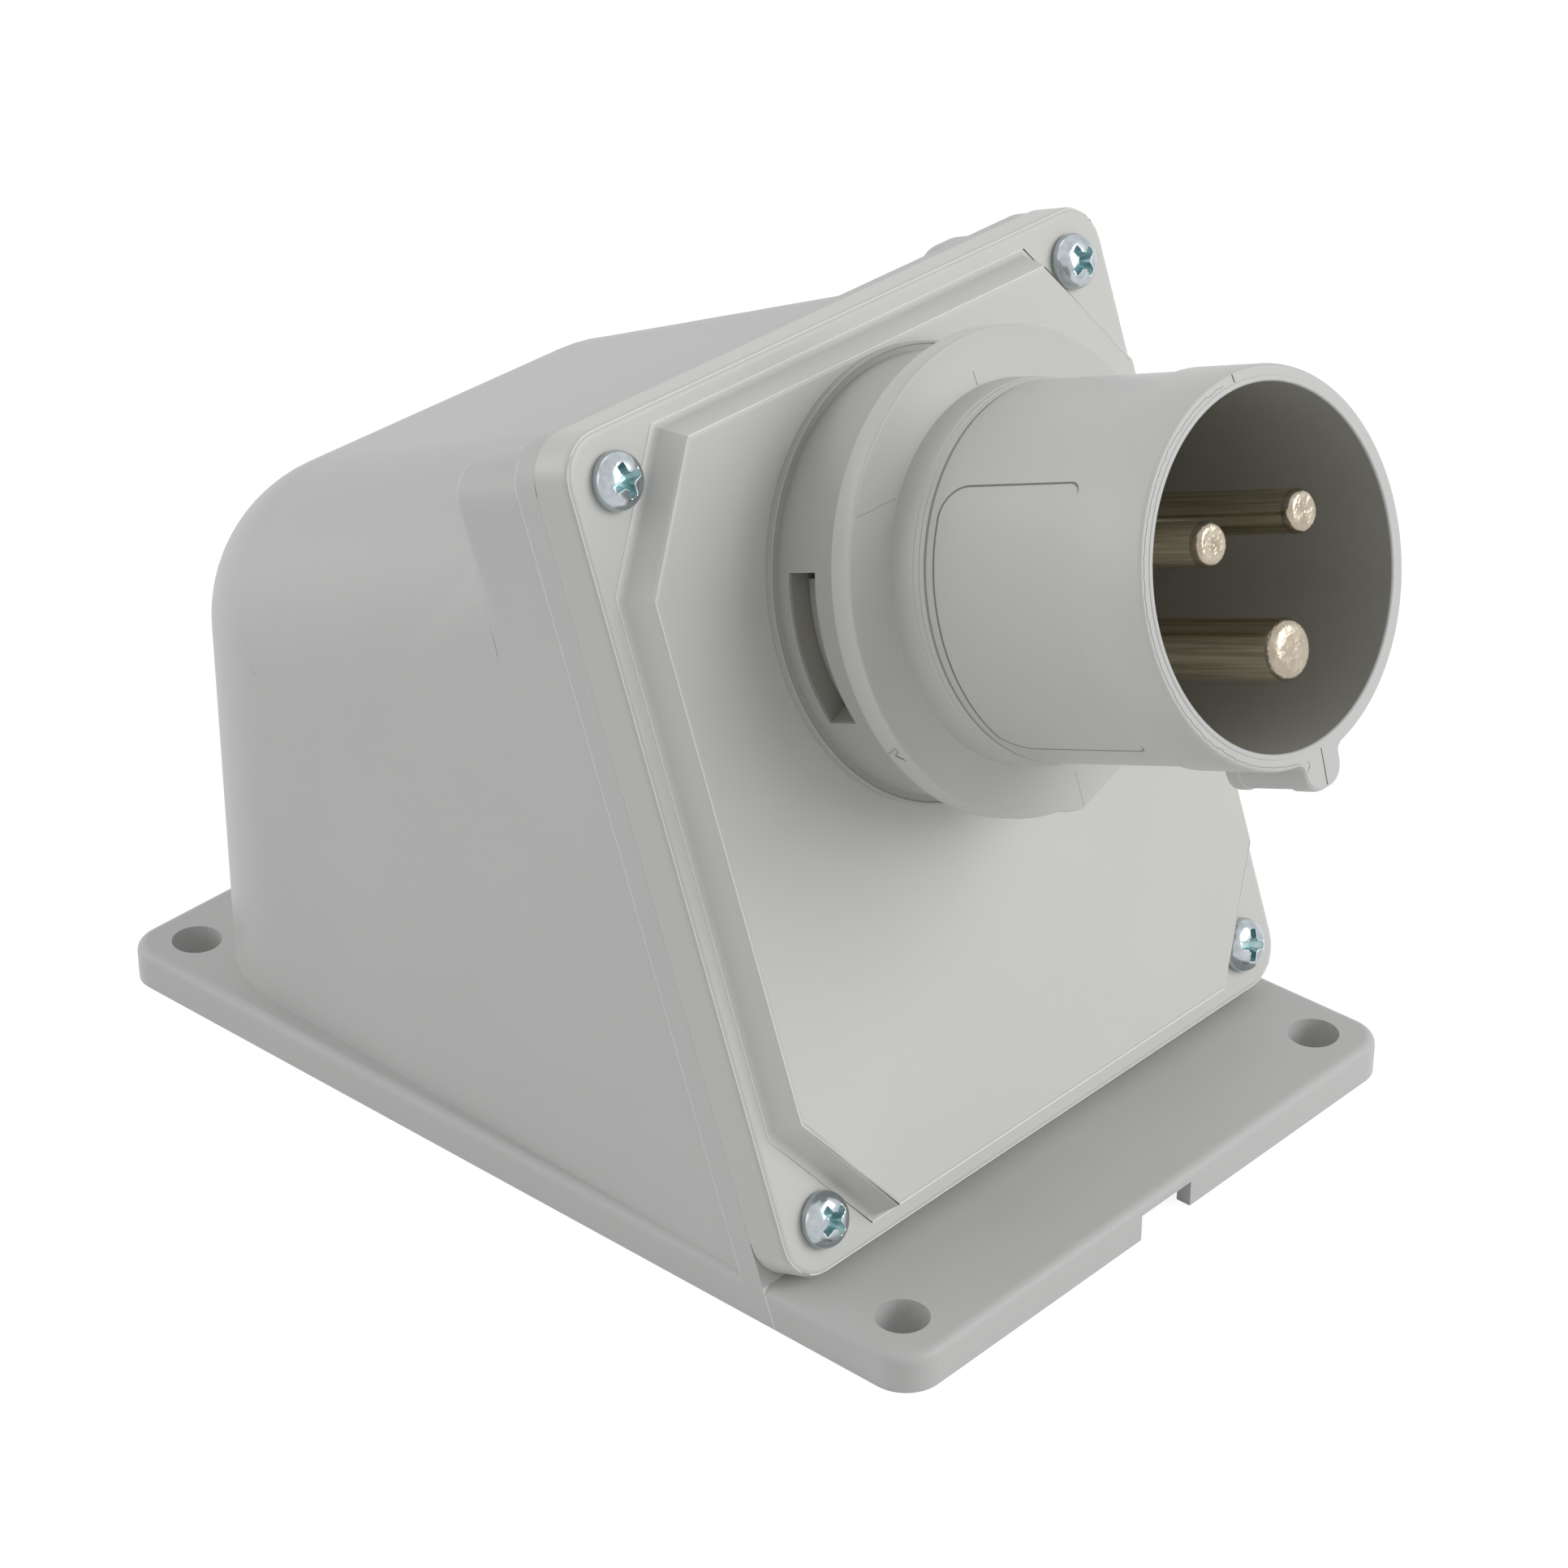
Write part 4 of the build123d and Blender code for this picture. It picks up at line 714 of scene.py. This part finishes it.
thread(flash, [(x, y, FLANGE_FACE_AT) for x, y in on_flange], 0.035)
arrow_turns = ((-154.1, 64.95), (-156.1, 66.75), (-154.9, 66.83), (-153.7, 65.96))
thread(flash, [on_round(FLANGE_R, angle, station) for angle, station in arrow_turns], 0.07)
make_piece("mould_flash", flash, INLET, flash_plastic)
seams = bmesh.new()
thread(seams, [(x, y, RIM_FACE_AT) for x, y in ((0.33, 21.75), (0.42, 21.2), (0.48, 20.85))], 0.07)
thread(seams, [(x, y, RIM_FACE_AT) for x, y in ((0.30, -20.95), (0.12, -23.3), (-0.05, -25.1))], 0.06)
scar_turns = ((-153.7, 65.96), (-153.1, 66.35), (-152.5, 66.83), (-152.0, 66.99))
thread(seams, [on_round(FLANGE_R, angle, station) for angle, station in scar_turns], 0.07)
make_piece("mould_seams", seams, INLET, seam_shade)

# Insulating carrier: a dark moulding behind the floor that holds the three pins.
carrier_plastic = plastic("carrier_plastic", (0.060, 0.060, 0.055), (0.080, 0.080, 0.075), 0.5, 0.4)
paint_node("pin_carrier", carrier_plastic)

# Seals: soft light rubber in the two grooves, hardly darker than the plastic round it.
seal_rubber = plastic("seal_rubber", (0.400, 0.400, 0.375), (0.440, 0.440, 0.410), 0.65, 0.6)
for name in ("cover_gasket", "inlet_gasket"):
    paint_node(name, seal_rubber)

# Grommet: a moulded rubber skin in the cable entry, to be cut for the cable.
grommet_rubber = plastic("grommet_rubber", (0.170, 0.170, 0.172), (0.200, 0.200, 0.203), 0.62, 0.6)
paint_node("cable_grommet", grommet_rubber)


# Metal with fine marks: rings of the turning tool across a tip, streaks along a shaft.
def metal(name, darker, lighter, roughness):
    paint = bpy.data.materials.new(name)
    paint.use_nodes = True
    tree = paint.node_tree
    shader = tree.nodes["Principled BSDF"]
    shader.inputs["Metallic"].default_value = 1.0
    coords = tree.nodes.new("ShaderNodeTexCoord")
    noise = tree.nodes.new("ShaderNodeTexNoise")
    noise.inputs["Scale"].default_value = 700.0
    noise.inputs["Detail"].default_value = 3.0
    tree.links.new(coords.outputs["Object"], noise.inputs["Vector"])
    ramp = tree.nodes.new("ShaderNodeValToRGB")
    ramp.name = "tones"
    ramp.color_ramp.elements[0].position = 0.35
    ramp.color_ramp.elements[0].color = (*darker, 1.0)
    ramp.color_ramp.elements[1].position = 0.65
    ramp.color_ramp.elements[1].color = (*lighter, 1.0)
    tree.links.new(noise.outputs["Fac"], ramp.inputs["Fac"])
    tree.links.new(ramp.outputs["Color"], shader.inputs["Base Color"])
    spread = tree.nodes.new("ShaderNodeMapRange")
    spread.inputs["To Min"].default_value = roughness - 0.06
    spread.inputs["To Max"].default_value = roughness + 0.06
    tree.links.new(noise.outputs["Fac"], spread.inputs["Value"])
    tree.links.new(spread.outputs["Result"], shader.inputs["Roughness"])
    return paint


# Fine dents that break up the shine of a metal face.
def hammer(paint, scale, depth):
    tree = paint.node_tree
    coords = tree.nodes.new("ShaderNodeTexCoord")
    dents = tree.nodes.new("ShaderNodeTexNoise")
    dents.inputs["Scale"].default_value = scale
    dents.inputs["Detail"].default_value = 2.0
    tree.links.new(coords.outputs["Object"], dents.inputs["Vector"])
    bump = tree.nodes.new("ShaderNodeBump")
    bump.inputs["Distance"].default_value = depth
    tree.links.new(dents.outputs["Fac"], bump.inputs["Height"])
    tree.links.new(bump.outputs["Normal"], tree.nodes["Principled BSDF"].inputs["Normal"])


# Contact pins: turned brass with a nickel finish, rounded and bright at the tip.  The
# shafts carry the drawn bar's lengthwise streaks and stand in the dark of the bore.
PIN_CIRCLE_R = 9.03
PHASE_R = 2.5
PHASE_TIP_AT = 103.2
EARTH_R = 3.5
EARTH_TIP_AT = 105.2
TIP_LENGTH = 1.25
pin_shaft = metal("pin_shaft", (0.58, 0.525, 0.39), (0.90, 0.83, 0.65), 0.20)
tree = pin_shaft.node_tree
streaks = tree.nodes["Noise Texture"]
streaks.inputs["Scale"].default_value = 1.0
stretched = tree.nodes.new("ShaderNodeCombineXYZ")
place = place_in(tree)
for socket, source, squeeze in (("X", "Across", 2.6), ("Y", "Up", 2.6), ("Z", "Along", 0.06)):
    tree.links.new(maths(tree, "MULTIPLY", place[source], squeeze), stretched.inputs[socket])
tree.links.new(stretched.outputs["Vector"], streaks.inputs["Vector"])
pin_tip = metal("pin_tip", (0.40, 0.345, 0.27), (0.50, 0.44, 0.35), 0.24)
hammer(pin_tip, 1200.0, 0.12 * MM)


# Profile of a pin from the carrier to its tip, with the tip face of its own material.
def make_pin_piece(name, angle, radius, tip_at, tip_profile):
    collar = radius + 0.7
    ring = radius + 1.2
    foot = radius + 0.2
    profile = [(0.0, 36.5), (collar, 36.5), (collar, 58.5), (ring, 58.5), (ring, 60.5)]
    profile += [(foot, 60.5), (foot, 63.7), (radius, 63.75)]
    profile += [(r, tip_at + along) for r, along in tip_profile]
    shape = turned(profile, 64)
    for face in shape.faces:
        if face.calc_center_median().z > tip_at - TIP_LENGTH:
            face.material_index = 1
    offset = mathutils.Matrix.Translation(on_round(PIN_CIRCLE_R, angle, 0.0))
    piece = make_piece(name + "_turned", shape, INLET @ offset, pin_shaft, pin_tip)
    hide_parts(name)


# A phase tip: turned flat with shallow rings, a pip at the centre and a rounded edge.
phase_tip = [(PHASE_R, -1.35), (2.47, -0.9), (2.38, -0.5), (2.22, -0.22), (1.98, -0.06), (1.7, 0.0)]
phase_tip += [(1.45, -0.03), (1.25, 0.0), (1.0, -0.035), (0.8, 0.0), (0.55, -0.03), (0.35, -0.02)]
phase_tip += [(0.22, -0.12), (0.0, -0.16)]
earth_tip = [(EARTH_R, -1.6), (3.47, -1.25), (3.36, -0.8), (3.16, -0.45), (2.85, -0.2), (2.45, -0.06)]
earth_tip += [(2.0, 0.0), (1.0, -0.02), (0.0, 0.0)]
make_pin_piece("pin_line", 23.5, PHASE_R, PHASE_TIP_AT, phase_tip)
make_pin_piece("pin_neutral", 143.5, PHASE_R, PHASE_TIP_AT, phase_tip)
make_pin_piece("pin_earth", -96.5, EARTH_R, EARTH_TIP_AT, earth_tip)

# Cover screws: zinc plated pan heads, well domed, with a deep cross recess whose edges carry a painted
# highlight:
# a narrow bevel in a bright zinc tone.  Each stands turned as it was left by the driver.
screw_zinc = metal("screw_zinc", (0.40, 0.44, 0.47), (0.52, 0.57, 0.595), 0.20)
recess_zinc = metal("recess_zinc", (0.34, 0.50, 0.52), (0.62, 0.76, 0.77), 0.34)
edge_highlight_zinc = metal("edge_highlight_zinc", (0.80, 0.84, 0.84), (0.90, 0.93, 0.92), 0.28)
finishes = (screw_zinc, recess_zinc, edge_highlight_zinc)
SCREW_SEAT_AT = 49.2255
SCREWS = (
    ("cover_screw_upper_near", -39.5, 85.1, 11.0),
    ("cover_screw_upper_far", 39.5, 85.1, 27.0),
    ("cover_screw_lower_near", -39.5, -4.3, 25.0),
    ("cover_screw_lower_far", 39.5, -4.3, -21.0),
)
HEAD_R = 3.4
HEAD_EDGE = 0.6
HEAD_DOME = 1.9
head_profile = [(0.0, -15.0), (1.2, -15.0), (1.7, -13.5), (1.7, 0.0), (2.95, 0.0), (3.26, 0.16), (3.38, 0.34)]
head_profile.append((HEAD_R, HEAD_EDGE))
for degrees in range(8, 90, 6):
    angle = math.radians(degrees)
    head_profile.append((HEAD_R * math.cos(angle) ** 0.62, HEAD_EDGE + HEAD_DOME * math.sin(angle)))
head_profile.append((0.0, HEAD_EDGE + HEAD_DOME))

# The recess: an eight sided core and two crossed slots, all of them narrower at the bottom.
CORE_STEPS = ((0.85, 0.5), (2.1, 0.98), (3.0, 1.32))
SLOT_STEPS = ((0.85, 1.0, 0.34), (2.1, 2.0, 0.50), (3.0, 2.45, 0.62))
core = []
for station, reach in CORE_STEPS:
    corners = [math.pi * step / 4 for step in range(8)]
    core.append([(reach * math.cos(angle), reach * math.sin(angle), station) for angle in corners])
slot = []
for station, long_half, wide_half in SLOT_STEPS:
    corners = ((-1, -1), (1, -1), (1, 1), (-1, 1))
    slot.append([(long_half * x, wide_half * y, station) for x, y in corners])

for name, across, up, turn in SCREWS:
    screw = make_piece(name + "_turned", turned(head_profile, 72), mathutils.Matrix(), *finishes)
    for rings, degrees in ((core, 22.5), (slot, 0.0), (slot, 90.0)):
        hollow = swept(rings)
        quarter = mathutils.Matrix.Rotation(math.radians(degrees), 3, "Z")
        bmesh.ops.rotate(hollow, cent=(0.0, 0.0, 0.0), matrix=quarter, verts=hollow.verts)
        for face in hollow.faces:
            face.material_index = 1
        combine(screw, hollow, "DIFFERENCE", *finishes)
    # Painted highlight: the recess edges are bevelled into a narrow band of the bright zinc tone.
    edged = bmesh.new()
    edged.from_mesh(screw.data)
    bmesh.ops.remove_doubles(edged, verts=edged.verts, dist=0.03)
    lines = [edge for edge in edged.edges if len({face.material_index for face in edge.link_faces}) == 2]
    bmesh.ops.bevel(
        edged, geom=lines, offset=0.055, segments=1, affect="EDGES", clamp_overlap=False, material=2
    )
    edged.to_mesh(screw.data)
    edged.free()
    smooth(screw.data, 25.0)
    seat = mathutils.Matrix.Translation((across, up - AXIS_U, SCREW_SEAT_AT))
    screw.data.transform(INLET @ seat @ mathutils.Matrix.Rotation(math.radians(turn), 4, "Z"))
    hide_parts(name)

# Small screws inside: carrier screws and clamp screws, plain zinc plated steel.
for name in nodes:
    if "carrier_screw" in name or "clamp_screw" in name:
        paint_node(name, screw_zinc)
